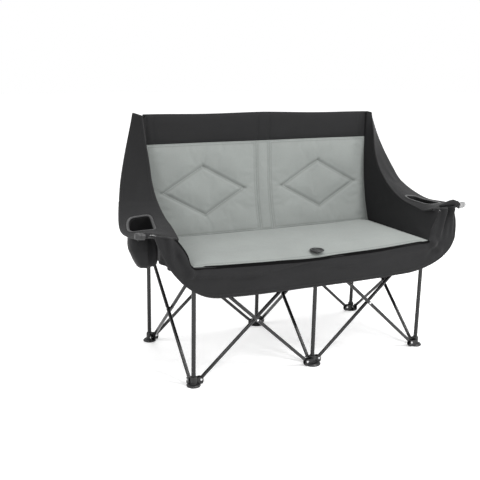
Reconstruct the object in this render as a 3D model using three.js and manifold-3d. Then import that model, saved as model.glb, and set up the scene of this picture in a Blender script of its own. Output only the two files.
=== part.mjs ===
// A folding camping loveseat: six legs joined by seven scissor pairs, with padded cloth slung between them.
// Millimetres, +Z up. The origin is on the ground, under the middle of the frame. +X is the sitter's left,
// so a viewer in front of the seat sees +X at the right. The front is at -Y.
import * as THREE from "three";
import { mergeVertices } from "three/addons/utils/BufferGeometryUtils.js";
import Module from "manifold-3d";

const wasm = await Module();
wasm.setup();

// Driving sizes of the frame. The posts stand just inside the seat's sides, and every scissor pair spans
// the same width between its pivots.
const SEAT_WIDTH = 1022;
const SEAT_SIDE_OVERHANG = 11;
const PIVOT_REACH_X = 30;
const PIVOT_REACH_Y = 20;
const POST_SPACING_X = SEAT_WIDTH / 2 - SEAT_SIDE_OVERHANG;
const PIVOT_SPAN = POST_SPACING_X - 2 * PIVOT_REACH_X;
const POST_SPACING_Y = PIVOT_SPAN + 2 * PIVOT_REACH_Y;
const HALF_DEPTH = POST_SPACING_Y / 2;
const HALF_SEAT = SEAT_WIDTH / 2;
const LOWER_PIVOT_Z = 20;
const UPPER_PIVOT_Z = 422;
const POST_RADIUS = 8;
const TUBE_WALL = 1.2;
const REAR_POST_TOP = 914;
const ROD_RADIUS = 6.75;
const ROD_SIDE_OFFSET = 7.5;
const ROD_END_OVERHANG = 7;
const RIVET_RADIUS = 2.5;
const RIVET_HEAD_RADIUS = 4.5;
const RIVET_HEAD_HEIGHT = 1.5;
const WASHER_RADIUS = 5.4;

// Feet
const CORNER_FOOT_RADIUS = 26;
const MIDDLE_FOOT_RADIUS = 33;
const FOOT_RIM_HEIGHT = 4;
const FOOT_RIM_BEVEL = 5;
const FOOT_DISC_HEIGHT = 9;
const FOOT_COLLAR_TOP = 37;
const FOOT_FLOOR = 3;
const COLLAR_RADIUS = 12.5;

// Hubs and clevises
const HUB_BELOW_PIVOT = 17;
const HUB_ABOVE_PIVOT = 9;
const EAR_THICKNESS = 2.8;
const EAR_RADIUS = 9;
const EAR_ROOT = 5;
const SLOT_CLEARANCE = 0.45;
const SWING_CLEARANCE = 0.5;
const SLOT_OVERRUN = 40;

// Front legs
const OUTER_TUBE_TOP = 398;
const INNER_TUBE_INSERT = 264;
const INNER_TUBE_TOP = 430;

// Arm tubes, in the plane of the front legs. They reach out from the leg to just short of the arm's edge.
const ARM_OUTER_REACH = 705;
const ARM_TIP_SETBACK = 5;
const ARM_TUBE_RADIUS = 7;
const ARM_PIVOT_REACH = 24;
const ARM_TIP_REACH = ARM_OUTER_REACH - POST_SPACING_X - ARM_TIP_SETBACK;
const ARM_TIP_Z = 577;
const ARM_KNEE_SHARE = 0.775;
const ARM_KNEE_REACH = ARM_KNEE_SHARE * ARM_TIP_REACH;
const ARM_KNEE_Z = 563;
const ARM_BEND_SHARE = 0.2;
const ARM_BEND_TIP_SHARE = 0.45;
const ARM_TUBE_TAIL = 6;
const TIP_RADIUS = 12;
const TIP_NOSE_RADIUS = 9.5;
const TIP_LENGTH = 34;
const TIP_GRIP = 19;
const TIP_RING = 4;
const TIP_RING_DEPTH = 1.5;

// Seat. The pad's rim is low along the front middle and rises to the corners; the pad swells above its rim.
const SEAT_FRONT_OVERHANG = 21;
const SEAT_REAR_SETBACK = 83.5;
const SEAT_CORNER_Z = 454;
const SEAT_MIDDLE_Z = 437;
const SEAT_REAR_Z = 447;
const SEAT_REAR_CORNER_RISE = 3;
const SEAT_SWELL = 21;
const SEAT_RIM_THICKNESS = 5;
const SEAT_CREASE_FROM_REAR = 119;
const SEAT_CAP_RADIUS = 31;
const SEAT_CAP_HEIGHT = 5;
const SEAT_CAP_STEM_RADIUS = 4.8;
const SEAT_CAP_STEM_INSERT = 14;
const SEAT_CAP_STEM_CLEARANCE = 1;

// Back
const BACK_SIDE_MARGIN = 10;
const BACK_PAD_WIDTH = SEAT_WIDTH;
const BACK_WIDTH = BACK_PAD_WIDTH + 2 * BACK_SIDE_MARGIN;
const BACK_FOOT_Z = 440;
const BACK_TOP_CORNER_Z = 930;
const BACK_TOP_MIDDLE_Z = 934;
const BACK_TOP_DIP = 6;
const BACK_FOOT_FORWARD = 70;
const BACK_CURVE_POWER = 3;
const BACK_BAY_SAG = 10;
const BACK_CLOTH = 2.5;
const GREY_TOP_Z = 819;
const BACK_PAD_THICKNESS = 10;
const BACK_PAD_EDGE = 4;
const CHANNEL_WIDTH = 60;
const CHANNEL_THICKNESS = 7;
const TOP_BAND_THICKNESS = 8;
const DIAMOND_OUT = (BACK_PAD_WIDTH + CHANNEL_WIDTH) / 4;
const DIAMOND_Z = 625;
const DIAMOND_HALF_WIDTH = 178;
const DIAMOND_HALF_HEIGHT = 97;
const DIAMOND_GROOVE = 4;
const DIAMOND_GROOVE_WIDTH = 22;
const POCKET_FOOT_Z = 780;
const POCKET_CLOTH = 1.6;

// Sides, arms and front band
const SIDE_CLOTH = 4;
const SIDE_HEM = 8;
const SKIRT_DEPTH = 64;
const SKIRT_FLARE = 4;
const SIDE_CLEAR_OF_ARM = 7;
const SIDE_BEFORE_BACK = 12;
const ARM_CLOTH = 8;
const SHOULDER_CLOTH = 6;
const ARM_FRONT_SETBACK = 16;
const ARM_FRONT_Y = ARM_FRONT_SETBACK - HALF_DEPTH;
const ARM_Z = 575;
const SHOULDER_TOP_Z = 929;
const SHOULDER_REAR_OVERHANG = 16;
const SHOULDER_REAR_Y = HALF_DEPTH + SHOULDER_REAR_OVERHANG;
const BAND_CLOTH = 4;
const BAND_BOTTOM_Z = 325;
const BAND_TOP_Z = 572;
const BAND_LEAN = 10;
const BAND_REACH_SHARE = 0.912;
const BAND_OUTER_REACH = BAND_REACH_SHARE * ARM_OUTER_REACH;
const CUP_DEPTH = 143;
const CUP_WALL = 3;
const TRIM_RADIUS = 2.6;

// Clearances
const REST_GAP = 0.4;
const CLOTH_GAP = 0.5;
const RUNNING_GAP = 0.4;
const RIVET_GAP = 0.3;

// Shares that shape the cloth
const CROWN_POWER = 4;
const SEAT_CROWN_POWER = 14;
const CUP_ACROSS_SHARE = 0.565;
const CUP_ALONG_SHARE = 0.205;
const CUP_HALF_ACROSS_SHARE = 0.25;
const CUP_HALF_ALONG_SHARE = 0.085;
const CUP_CORNER_SHARE = 0.55;
const CUP_FLOOR_SHARE = 0.98;
const CUP_DEPTH_SHARES = [0, 0.5, 0.9, 1];
const CUP_BULGE_SHARE = 0.1;
const SIDE_TOP_SHARE = 0.97;
const SIDE_CORNER_SHARE = 0.5;
const SIDE_TURN_SHARE = 0.07;
const SIDE_SEAM_SHARE = 0.25;
const SKIRT_FRONT_START = 0.14;
const SKIRT_FRONT_END = 0.36;
const SKIRT_REAR_START = 0.86;

// How finely round and curved shapes are divided
const TUBE_SIDES = 10;
const ROD_SIDES = 8;
const RIVET_SIDES = 6;
const PIPING_SIDES = 6;
const ARM_TUBE_STEPS = 9;
const ARM_TUBE_SIDES = 8;
const FOOT_SIDES = 14;
const EAR_SEGMENTS = 2;
const CORNER_POINTS = 2;
const BACK_COLUMNS = 7;
const BACK_ROWS = 6;
const TOP_BAND_ROWS = 3;
const SEAT_COLUMNS = 16;
const SEAT_FRONT_ROWS = 6;
const SEAT_REAR_ROWS = 3;
const ARM_COLUMNS = 6;
const ARM_ROWS = 12;
const SHOULDER_COLUMNS = 4;
const SHOULDER_ROWS = 10;
const SIDE_COLUMNS = 4;
const SIDE_ROWS = 14;
const BAND_COLUMNS = 28;
const BAND_ROWS = 2;

// Values worked out from the driving sizes
const PIVOT_RISE = UPPER_PIVOT_Z - LOWER_PIVOT_Z;
const ROD_LENGTH = Math.hypot(PIVOT_SPAN, PIVOT_RISE);
const ROD_LEAN = Math.atan2(PIVOT_SPAN, PIVOT_RISE);
const RIVET_HOLE_RADIUS = (RIVET_RADIUS + RIVET_GAP) / Math.cos(Math.PI / RIVET_SIDES);
const INNER_TUBE_RADIUS = POST_RADIUS - TUBE_WALL - RUNNING_GAP;
const POCKET_RADIUS = POST_RADIUS + REST_GAP + POCKET_CLOTH;
const SEAT_FRONT_Y = -HALF_DEPTH - SEAT_FRONT_OVERHANG;
const SEAT_REAR_Y = HALF_DEPTH - SEAT_REAR_SETBACK;
const BACK_CLOTH_FRONT = HALF_DEPTH - POCKET_RADIUS - REST_GAP - BACK_CLOTH;

const materials = {
  steel: { color: 0x1b1c1d, roughness: 0.35, metalness: 0.8 },
  plastic: { color: 0x202122, roughness: 0.5, metalness: 0 },
  tip: { color: 0x8f9192, roughness: 0.4, metalness: 0.2 },
  dark_cloth: { color: 0x3b3c3d, roughness: 0.9, metalness: 0 },
  grey_cloth: { color: 0xa3a7a4, roughness: 0.9, metalness: 0 },
  trim_cloth: { color: 0x6d6f70, roughness: 0.8, metalness: 0 },
};

// Solids

function turnedOut(geometry) {
  const position = geometry.getAttribute("position");
  const index = geometry.index.array;
  const a = new THREE.Vector3();
  const b = new THREE.Vector3();
  const c = new THREE.Vector3();
  let volume = 0;
  for (let i = 0; i < index.length; i += 3) {
    a.fromBufferAttribute(position, index[i]);
    b.fromBufferAttribute(position, index[i + 1]);
    c.fromBufferAttribute(position, index[i + 2]);
    volume += a.dot(b.cross(c));
  }
  if (volume < 0) {
    for (let i = 0; i < index.length; i += 3) {
      [index[i + 1], index[i + 2]] = [index[i + 2], index[i + 1]];
    }
  }
  return geometry;
}

function solid(geometry, matrix = new THREE.Matrix4()) {
  const bare = geometry.clone();
  bare.deleteAttribute("normal");
  bare.deleteAttribute("uv");
  bare.applyMatrix4(matrix);
  const merged = turnedOut(mergeVertices(bare));
  return new wasm.Manifold(
    new wasm.Mesh({
      numProp: 3,
      vertProperties: new Float32Array(merged.getAttribute("position").array),
      triVerts: new Uint32Array(merged.index.array),
    }),
  );
}

function joined(solids) {
  return solids.reduce((whole, piece) => whole.add(piece));
}

function geometryOf(made) {
  const mesh = made.getMesh();
  const geometry = new THREE.BufferGeometry();
  geometry.setAttribute("position", new THREE.BufferAttribute(mesh.vertProperties, 3));
  geometry.setIndex(new THREE.BufferAttribute(mesh.triVerts, 1));
  geometry.computeVertexNormals();
  return geometry;
}

function piece(name, made, material) {
  const mesh = new THREE.Mesh(geometryOf(made), new THREE.MeshStandardMaterial(materials[material]));
  mesh.name = name;
  return mesh;
}

// A ring turned about Z: inner and outer radius, lower and upper end.
function sleeve(inner, outer, low, high, sides) {
  const profile = [
    new THREE.Vector2(inner, low),
    new THREE.Vector2(outer, low),
    new THREE.Vector2(outer, high),
    new THREE.Vector2(inner, high),
    new THREE.Vector2(inner, low),
  ];
  return turned(profile, sides);
}

// LatheGeometry turns about Y, so its result is stood up onto Z.
function turned(profile, sides) {
  return new THREE.LatheGeometry(profile, sides).rotateX(Math.PI / 2);
}

function outlineOf(points) {
  return points.map(([x, y]) => new THREE.Vector2(x, y));
}

// A closed solid between two grids of points. front and back take shares u and v from 0 to 1.
function between(front, back, acrossCount, alongCount) {
  const positions = [];
  const index = [];
  const row = alongCount + 1;
  const sheet = (acrossCount + 1) * row;
  for (const surface of [front, back]) {
    for (let i = 0; i <= acrossCount; i++) {
      for (let j = 0; j <= alongCount; j++) {
        positions.push(...surface(i / acrossCount, j / alongCount).toArray());
      }
    }
  }
  const quad = (a, b, c, d) => index.push(a, b, c, a, c, d);
  for (let i = 0; i < acrossCount; i++) {
    for (let j = 0; j < alongCount; j++) {
      const a = i * row + j;
      quad(a, a + row, a + row + 1, a + 1);
      quad(sheet + a, sheet + a + 1, sheet + a + row + 1, sheet + a + row);
    }
  }
  for (let i = 0; i < acrossCount; i++) {
    const a = i * row;
    const b = a + alongCount;
    quad(a, sheet + a, sheet + a + row, a + row);
    quad(b, b + row, sheet + b + row, sheet + b);
  }
  for (let j = 0; j < alongCount; j++) {
    const a = j;
    const b = acrossCount * row + j;
    quad(a, a + 1, sheet + a + 1, sheet + a);
    quad(b, sheet + b, sheet + b + 1, b + 1);
  }
  const geometry = new THREE.BufferGeometry();
  geometry.setAttribute("position", new THREE.Float32BufferAttribute(positions, 3));
  geometry.setIndex(index);
  turnedOut(geometry);
  geometry.computeVertexNormals();
  return geometry;
}

// A cloth of even thickness about a surface of shares u and v.
function cloth(surface, thickness, acrossCount, alongCount) {
  const step = 1 / (acrossCount + alongCount);
  const side = (sign) => (u, v) => {
    const across = surface(Math.min(1, u + step), v).sub(surface(Math.max(0, u - step), v));
    const along = surface(u, Math.min(1, v + step)).sub(surface(u, Math.max(0, v - step)));
    const normal = across.cross(along).normalize();
    return surface(u, v).addScaledVector(normal, (sign * thickness) / 2);
  };
  return between(side(1), side(-1), acrossCount, alongCount);
}

const mix = THREE.MathUtils.lerp;

// 0 at both ends of a share and 1 between, with shoulders that are fuller for a higher power.
function crown(share, power = CROWN_POWER) {
  return 1 - Math.pow(Math.abs(2 * share - 1), power);
}

// Divides a side finely at both ends and coarsely between.
function eased(share) {
  return (1 - Math.cos(Math.PI * share)) / 2;
}

// Frame pieces

function rivet(length) {
  const half = length / 2;
  const profile = outlineOf([
    [0, -half - RIVET_HEAD_HEIGHT],
    [RIVET_HEAD_RADIUS, -half],
    [RIVET_RADIUS, -half],
    [RIVET_RADIUS, half],
    [RIVET_HEAD_RADIUS, half],
    [0, half + RIVET_HEAD_HEIGHT],
  ]);
  return turned(profile, RIVET_SIDES).rotateX(Math.PI / 2);
}

function earsRivet(tubeRadius) {
  return rivet(2 * (tubeRadius + SLOT_CLEARANCE + EAR_THICKNESS + RIVET_GAP));
}

function moved(x, y, z) {
  return new THREE.Matrix4().makeTranslation(x, y, z);
}

// A bar along Z with its end rivets along Y. One rod of a pair also carries the rivet of the crossing,
// with a washer between the two; the other has a hole for it.
function rod(carriesCrossing) {
  const half = ROD_LENGTH / 2 + ROD_END_OVERHANG;
  const bar = new THREE.CylinderGeometry(ROD_RADIUS, ROD_RADIUS, 2 * half, ROD_SIDES);
  const parts = [solid(bar.rotateX(Math.PI / 2))];
  for (const end of [-ROD_LENGTH / 2, ROD_LENGTH / 2]) {
    parts.push(solid(earsRivet(ROD_RADIUS), moved(0, 0, end)));
  }
  if (carriesCrossing) {
    const pairWidth = 2 * (ROD_SIDE_OFFSET + ROD_RADIUS + RIVET_GAP);
    parts.push(solid(rivet(pairWidth), moved(0, -ROD_SIDE_OFFSET, 0)));
    const washerLength = 2 * ROD_SIDE_OFFSET - ROD_RADIUS - RIVET_GAP;
    const washer = new THREE.CylinderGeometry(WASHER_RADIUS, WASHER_RADIUS, washerLength, RIVET_SIDES);
    parts.push(solid(washer, moved(0, -washerLength / 2, 0)));
    return joined(parts);
  }
  const bore = new THREE.CylinderGeometry(RIVET_HOLE_RADIUS, RIVET_HOLE_RADIUS, SLOT_OVERRUN, RIVET_SIDES);
  return joined(parts).subtract(solid(bore));
}

// Two ears for a tube's end, along +X of the clevis. opens is 1 where the tube swings up, -1 where down.
function clevis({ reach, aside, tubeRadius, tail, opens, height, angle, closedEnd = EAR_RADIUS }) {
  const halfSlot = tubeRadius + SLOT_CLEARANCE;
  const halfWidth = halfSlot + EAR_THICKNESS;
  const outline = new THREE.Shape();
  outline.moveTo(EAR_ROOT, -closedEnd);
  outline.lineTo(reach + EAR_RADIUS, -closedEnd);
  outline.absarc(reach, 0, EAR_RADIUS, 0, Math.PI / 2, false);
  outline.lineTo(EAR_ROOT, EAR_RADIUS);
  const block = new THREE.ExtrudeGeometry(outline, {
    depth: 2 * halfWidth,
    bevelEnabled: false,
    curveSegments: EAR_SEGMENTS,
  });
  block.translate(0, 0, -halfWidth).rotateX(Math.PI / 2);
  const swing = Math.hypot(tail, tubeRadius) + SWING_CLEARANCE;
  const slot = new THREE.BoxGeometry(swing + EAR_RADIUS * 2, 2 * halfSlot, swing + SLOT_OVERRUN);
  slot.translate(reach + EAR_RADIUS - swing / 2, 0, (SLOT_OVERRUN - swing) / 2);
  const bore = new THREE.CylinderGeometry(
    RIVET_HOLE_RADIUS,
    RIVET_HOLE_RADIUS,
    2 * (halfWidth + EAR_THICKNESS),
    RIVET_SIDES,
  );
  bore.translate(reach, 0, 0);
  const place = new THREE.Matrix4().makeTranslation(0, 0, height);
  place.multiply(new THREE.Matrix4().makeRotationZ(angle));
  place.multiply(moved(0, aside, 0));
  place.multiply(new THREE.Matrix4().makeScale(1, 1, opens));
  return {
    block: solid(block, place),
    cuts: [solid(slot, place), solid(bore, place)],
  };
}

// Joins the clevises to a base and cuts their slots through the whole.
function withClevises(base, clevises) {
  const whole = joined([base, ...clevises.map((made) => made.block)]);
  return clevises.flatMap((made) => made.cuts).reduce((left, cut) => left.subtract(cut), whole);
}

function rodClevises(height, opens, directions, closedEnd) {
  const aside = opens * ROD_SIDE_OFFSET;
  const rodEnd = { aside, tubeRadius: ROD_RADIUS, tail: ROD_END_OVERHANG, opens, height, closedEnd };
  return directions.map(({ angle, reach }) => clevis({ ...rodEnd, angle, reach }));
}

function foot(radius, directions) {
  const socket = POST_RADIUS + REST_GAP;
  const profile = outlineOf([
    [0, 0],
    [radius, 0],
    [radius, FOOT_RIM_HEIGHT],
    [radius - FOOT_RIM_BEVEL, FOOT_DISC_HEIGHT],
    [COLLAR_RADIUS, FOOT_DISC_HEIGHT],
    [COLLAR_RADIUS, FOOT_COLLAR_TOP],
    [socket, FOOT_COLLAR_TOP],
    [socket, FOOT_FLOOR],
    [0, FOOT_FLOOR],
  ]);
  const base = withClevises(
    solid(turned(profile, FOOT_SIDES)),
    rodClevises(LOWER_PIVOT_Z, 1, directions, LOWER_PIVOT_Z - FOOT_RIM_HEIGHT),
  );
  return base.subtract(solid(sleeve(0, socket, FOOT_FLOOR, FOOT_COLLAR_TOP + SLOT_OVERRUN, FOOT_SIDES)));
}

function hub(holeRadius, directions, armSide) {
  const low = UPPER_PIVOT_Z - HUB_BELOW_PIVOT;
  const high = UPPER_PIVOT_Z + HUB_ABOVE_PIVOT;
  const clevises = rodClevises(UPPER_PIVOT_Z, -1, directions);
  if (armSide) {
    const angle = armSide > 0 ? 0 : Math.PI;
    const reach = ARM_PIVOT_REACH;
    const tubeRadius = ARM_TUBE_RADIUS;
    const height = UPPER_PIVOT_Z;
    clevises.push(clevis({ reach, aside: 0, tubeRadius, tail: ARM_TUBE_TAIL, opens: 1, height, angle }));
  }
  const collar = solid(sleeve(holeRadius, COLLAR_RADIUS, low, high, FOOT_SIDES));
  const bore = solid(sleeve(0, holeRadius, low - SLOT_OVERRUN, high + SLOT_OVERRUN, FOOT_SIDES));
  return withClevises(collar, clevises).subtract(bore);
}

// The arm tube rises from the hub, bends at its knee and ends under the armrest's front edge.
function armTube(side) {
  const pivot = new THREE.Vector3(side * ARM_PIVOT_REACH, 0, UPPER_PIVOT_Z);
  const knee = new THREE.Vector3(side * ARM_KNEE_REACH, 0, ARM_KNEE_Z);
  const tip = new THREE.Vector3(side * ARM_TIP_REACH, 0, ARM_TIP_Z);
  const tail = pivot.clone().addScaledVector(knee.clone().sub(pivot).normalize(), -ARM_TUBE_TAIL);
  const bendStart = knee.clone().lerp(pivot, ARM_BEND_SHARE);
  const bendEnd = knee.clone().lerp(tip, ARM_BEND_TIP_SHARE);
  const path = new THREE.CurvePath();
  path.add(new THREE.LineCurve3(tail, bendStart));
  path.add(new THREE.QuadraticBezierCurve3(bendStart, knee, bendEnd));
  path.add(new THREE.LineCurve3(bendEnd, tip));
  const section = new THREE.Shape();
  section.absarc(0, 0, ARM_TUBE_RADIUS, 0, 2 * Math.PI, false);
  const tube = new THREE.ExtrudeGeometry(section, {
    steps: ARM_TUBE_STEPS,
    extrudePath: path,
    curveSegments: ARM_TUBE_SIDES / 2,
  });
  return joined([solid(tube), solid(earsRivet(ARM_TUBE_RADIUS), moved(pivot.x, 0, pivot.z))]);
}

// A grooved plastic cap over the end of an arm tube.
function armTip(side) {
  const bore = ARM_TUBE_RADIUS + REST_GAP;
  const nose = TIP_LENGTH - TIP_GRIP;
  const profile = outlineOf([
    [bore, -TIP_GRIP],
    [TIP_RADIUS, -TIP_GRIP],
    [TIP_RADIUS, -TIP_RING],
    [TIP_RADIUS - TIP_RING_DEPTH, -TIP_RING],
    [TIP_RADIUS - TIP_RING_DEPTH, 0],
    [TIP_RADIUS, 0],
    [TIP_RADIUS, TIP_RING],
    [TIP_NOSE_RADIUS, nose],
    [0, nose],
    [0, REST_GAP],
    [bore, REST_GAP],
    [bore, -TIP_GRIP],
  ]);
  const lean = Math.atan2(ARM_TIP_REACH - ARM_KNEE_REACH, ARM_TIP_Z - ARM_KNEE_Z);
  const cap = turned(profile, TUBE_SIDES).rotateY(side * lean);
  return solid(cap.translate(side * ARM_TIP_REACH, 0, ARM_TIP_Z));
}

function pocket() {
  const high = REAR_POST_TOP + REST_GAP;
  const inner = POST_RADIUS + REST_GAP;
  const profile = outlineOf([
    [inner, POCKET_FOOT_Z],
    [POCKET_RADIUS, POCKET_FOOT_Z],
    [POCKET_RADIUS, high + POCKET_CLOTH],
    [0, high + POCKET_CLOTH],
    [0, high],
    [inner, high],
    [inner, POCKET_FOOT_Z],
  ]);
  return solid(turned(profile, TUBE_SIDES));
}

function seatCap() {
  const under = seatTop(0, SEAT_CAP_RADIUS - HALF_DEPTH) + REST_GAP;
  const stemLow = INNER_TUBE_TOP - SEAT_CAP_STEM_INSERT;
  const profile = outlineOf([
    [0, stemLow],
    [SEAT_CAP_STEM_RADIUS, stemLow],
    [SEAT_CAP_STEM_RADIUS, under],
    [SEAT_CAP_RADIUS, under],
    [SEAT_CAP_RADIUS, under + SEAT_CAP_HEIGHT / 2],
    [SEAT_CAP_RADIUS - SEAT_CAP_HEIGHT, under + SEAT_CAP_HEIGHT],
    [0, under + SEAT_CAP_HEIGHT],
  ]);
  return solid(turned(profile, FOOT_SIDES));
}

// Seat

// Height of the seat's sewn rim: low along the front middle, higher at the corners and the rear.
function seatRim(x, y) {
  const out = Math.abs(x) / HALF_SEAT;
  const front = mix(SEAT_MIDDLE_Z, SEAT_CORNER_Z, out * out);
  const rear = SEAT_REAR_Z + SEAT_REAR_CORNER_RISE * out * out;
  return mix(front, rear, (y - SEAT_FRONT_Y) / (SEAT_REAR_Y - SEAT_FRONT_Y));
}

function seatTop(x, y) {
  const across = crown((x + HALF_SEAT) / SEAT_WIDTH, SEAT_CROWN_POWER);
  const along = crown((y - SEAT_FRONT_Y) / (SEAT_REAR_Y - SEAT_FRONT_Y), SEAT_CROWN_POWER);
  return seatRim(x, y) + SEAT_SWELL * across * along;
}

// The seat folds at a crease, so it is made in a front and a rear section.
function seatSection(frontY, rearY, frontShare, rearShare, rowCount) {
  const low = eased(frontShare);
  const high = eased(rearShare);
  const at = (heightOf) => (u, v) => {
    const x = mix(-HALF_SEAT, HALF_SEAT, eased(u));
    const share = eased(mix(frontShare, rearShare, v));
    const y = mix(frontY, rearY, (share - low) / (high - low));
    return new THREE.Vector3(x, y, heightOf(x, y));
  };
  const under = (x, y) => seatRim(x, y) - SEAT_RIM_THICKNESS;
  return solid(between(at(seatTop), at(under), SEAT_COLUMNS, rowCount));
}

// Back

// 0 at a post and 1 halfway between two posts.
function bayShare(x) {
  return Math.pow(Math.sin((Math.PI * x) / POST_SPACING_X), 2);
}

// Depth of the backing cloth's front: upright at the top, drawn forward at its foot, slack between posts.
function drapedFace(x, z) {
  const up = THREE.MathUtils.clamp((z - BACK_FOOT_Z) / (BACK_TOP_CORNER_Z - BACK_FOOT_Z), 0, 1);
  const slack = Math.min(1, 2 * (1 - up));
  const forward = BACK_FOOT_FORWARD * Math.pow(1 - up, BACK_CURVE_POWER);
  return BACK_CLOTH_FRONT - forward + BACK_BAY_SAG * bayShare(x) * slack;
}

function backTop(x) {
  const out = Math.abs(x) / (BACK_WIDTH / 2);
  return mix(BACK_TOP_MIDDLE_Z, BACK_TOP_CORNER_Z, out) - BACK_TOP_DIP * bayShare(x);
}

function evenly(from, to, count) {
  return Array.from({ length: count + 1 }, (_, k) => mix(from, to, k / count));
}

// The back's layers share these lines across and up, and are flat between them, so that they nest.
const backColumns = [0, ...evenly(CHANNEL_WIDTH / 2, BACK_PAD_WIDTH / 2, BACK_COLUMNS), BACK_WIDTH / 2];
const backRows = [...evenly(BACK_FOOT_Z, GREY_TOP_Z, BACK_ROWS), BACK_TOP_MIDDLE_Z];

function lineBelow(lines, value) {
  const found = lines.findIndex((line) => line > value);
  return found < 0 ? lines.length - 2 : Math.max(0, found - 1);
}

function backFace(x, z) {
  const column = lineBelow(backColumns, Math.abs(x));
  const row = lineBelow(backRows, z);
  const across = THREE.MathUtils.inverseLerp(backColumns[column], backColumns[column + 1], Math.abs(x));
  const up = THREE.MathUtils.inverseLerp(backRows[row], backRows[row + 1], z);
  const at = (line) => mix(
    drapedFace(backColumns[column], backRows[line]),
    drapedFace(backColumns[column + 1], backRows[line]),
    across,
  );
  return mix(at(row), at(row + 1), up);
}

// Adds a line halfway between each two.
function halved(lines) {
  return lines.flatMap((line, k) => (k + 1 < lines.length ? [line, (line + lines[k + 1]) / 2] : [line]));
}

// A layer between two depths in front of the backing cloth, over its own lines across and up.
function backLayer({ columns, rowsAt, front, rear }) {
  const count = rowsAt(0).length;
  const at = (depthAt) => (u, v) => {
    const x = columns[Math.round(u * (columns.length - 1))];
    const z = rowsAt(x)[Math.round(v * (count - 1))];
    const across = THREE.MathUtils.inverseLerp(columns[0], columns[columns.length - 1], x);
    const up = THREE.MathUtils.inverseLerp(rowsAt(x)[0], rowsAt(x)[count - 1], z);
    return new THREE.Vector3(x, backFace(x, z) - depthAt(across, up, x, z), z);
  };
  return solid(between(at(front), at(rear), columns.length - 1, count - 1));
}

function mirrored(columns) {
  return [...columns.slice(1).reverse().map((x) => -x), ...columns];
}

// The backing cloth with the thicker dark band along its top.
function backPanel() {
  const sheet = backLayer({
    columns: mirrored(backColumns),
    rowsAt: (x) => [...backRows.slice(0, -1), backTop(x)],
    front: () => 0,
    rear: () => -BACK_CLOTH,
  });
  const band = backLayer({
    columns: mirrored(backColumns.slice(0, -1)),
    rowsAt: (x) => evenly(GREY_TOP_Z + CLOTH_GAP, backTop(x), TOP_BAND_ROWS),
    front: (u, v) => mix(BACK_PAD_EDGE, TOP_BAND_THICKNESS, crown(v) * crown(u, SEAT_CROWN_POWER)),
    rear: () => -BACK_CLOTH / 2,
  });
  return sheet.add(band);
}

// How deep the sewn diamond pulls the pad in: a groove along its four sides.
function diamondGroove(x, z) {
  const across = Math.abs(Math.abs(x) - DIAMOND_OUT) / DIAMOND_HALF_WIDTH;
  const up = Math.abs(z - DIAMOND_Z) / DIAMOND_HALF_HEIGHT;
  const away = Math.abs(across + up - 1) * DIAMOND_HALF_HEIGHT;
  return DIAMOND_GROOVE * Math.max(0, 1 - away / DIAMOND_GROOVE_WIDTH);
}

function padRows() {
  const low = SEAT_REAR_Z + SEAT_REAR_CORNER_RISE + REST_GAP;
  return halved([low, ...backRows.filter((z) => z > low && z <= GREY_TOP_Z)]);
}

function greyPad(side) {
  const lines = halved(backColumns.slice(1, -1));
  lines[0] += REST_GAP;
  return backLayer({
    columns: lines.map((x) => side * x),
    rowsAt: padRows,
    front: (u, v, x, z) => {
      const full = mix(BACK_PAD_EDGE, BACK_PAD_THICKNESS, crown(u) * crown(v));
      return CLOTH_GAP + full - diamondGroove(x, z);
    },
    rear: () => CLOTH_GAP,
  });
}

function backChannel() {
  return backLayer({
    columns: mirrored(halved(backColumns.slice(0, 2))),
    rowsAt: padRows,
    front: (u) => CLOTH_GAP + mix(BACK_PAD_EDGE, CHANNEL_THICKNESS, crown(u)),
    rear: () => CLOTH_GAP,
  });
}

// Arms

// The arm and shoulder lie between an inner crease and an outer edge, from the arm's front up to the top of
// the back. Each row holds shares outwards, backwards and upwards.
const creaseShares = [
  [0.22, 0, -0.036],
  [0.18, 0.19, 0.002],
  [0.13, 0.385, 0.043],
  [0.103, 0.57, 0.154],
  [0.082, 0.71, 0.327],
  [0.067, 0.79, 0.528],
  [0.09, 0.843, 0.75],
  [0.1, 0.9, 0.995],
];
const outerShares = [
  [0.97, 0, 0.014],
  [1, 0.285, -0.03],
  [0.92, 0.475, -0.019],
  [0.73, 0.717, 0.135],
  [0.61, 0.828, 0.327],
  [0.485, 0.9, 0.528],
  [0.35, 0.955, 0.75],
  [0.215, 0.985, 1],
];
const ELBOW_SHARE = 3 / (creaseShares.length - 1);

function armPoint([outShare, backShare, upShare]) {
  const x = mix(HALF_SEAT, ARM_OUTER_REACH, outShare);
  const y = mix(ARM_FRONT_Y, SHOULDER_REAR_Y, backShare);
  return new THREE.Vector3(x, y, mix(ARM_Z, SHOULDER_TOP_Z, upShare));
}

const crease = new THREE.CatmullRomCurve3(creaseShares.map(armPoint));
const outerEdge = new THREE.CatmullRomCurve3(outerShares.map(armPoint));

// A place on the arm and shoulder: v runs from the arm's front to the top, u from the crease to the edge.
function armPlace(u, v) {
  return crease.getPoint(v).lerp(outerEdge.getPoint(v), u);
}

function sided(surface, side) {
  return (u, v) => surface(u, v).multiply(new THREE.Vector3(side, 1, 1));
}

function armSection(side, from, to, thickness, acrossCount, alongCount) {
  const surface = sided((u, v) => armPlace(u, mix(from, to, v)), side);
  return solid(cloth(surface, thickness, acrossCount, alongCount));
}

function shoulder(side) {
  const gapShare = (2 * REST_GAP) / crease.getLength();
  return armSection(side, ELBOW_SHARE + gapShare, 1, SHOULDER_CLOTH, SHOULDER_COLUMNS, SHOULDER_ROWS);
}

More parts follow.
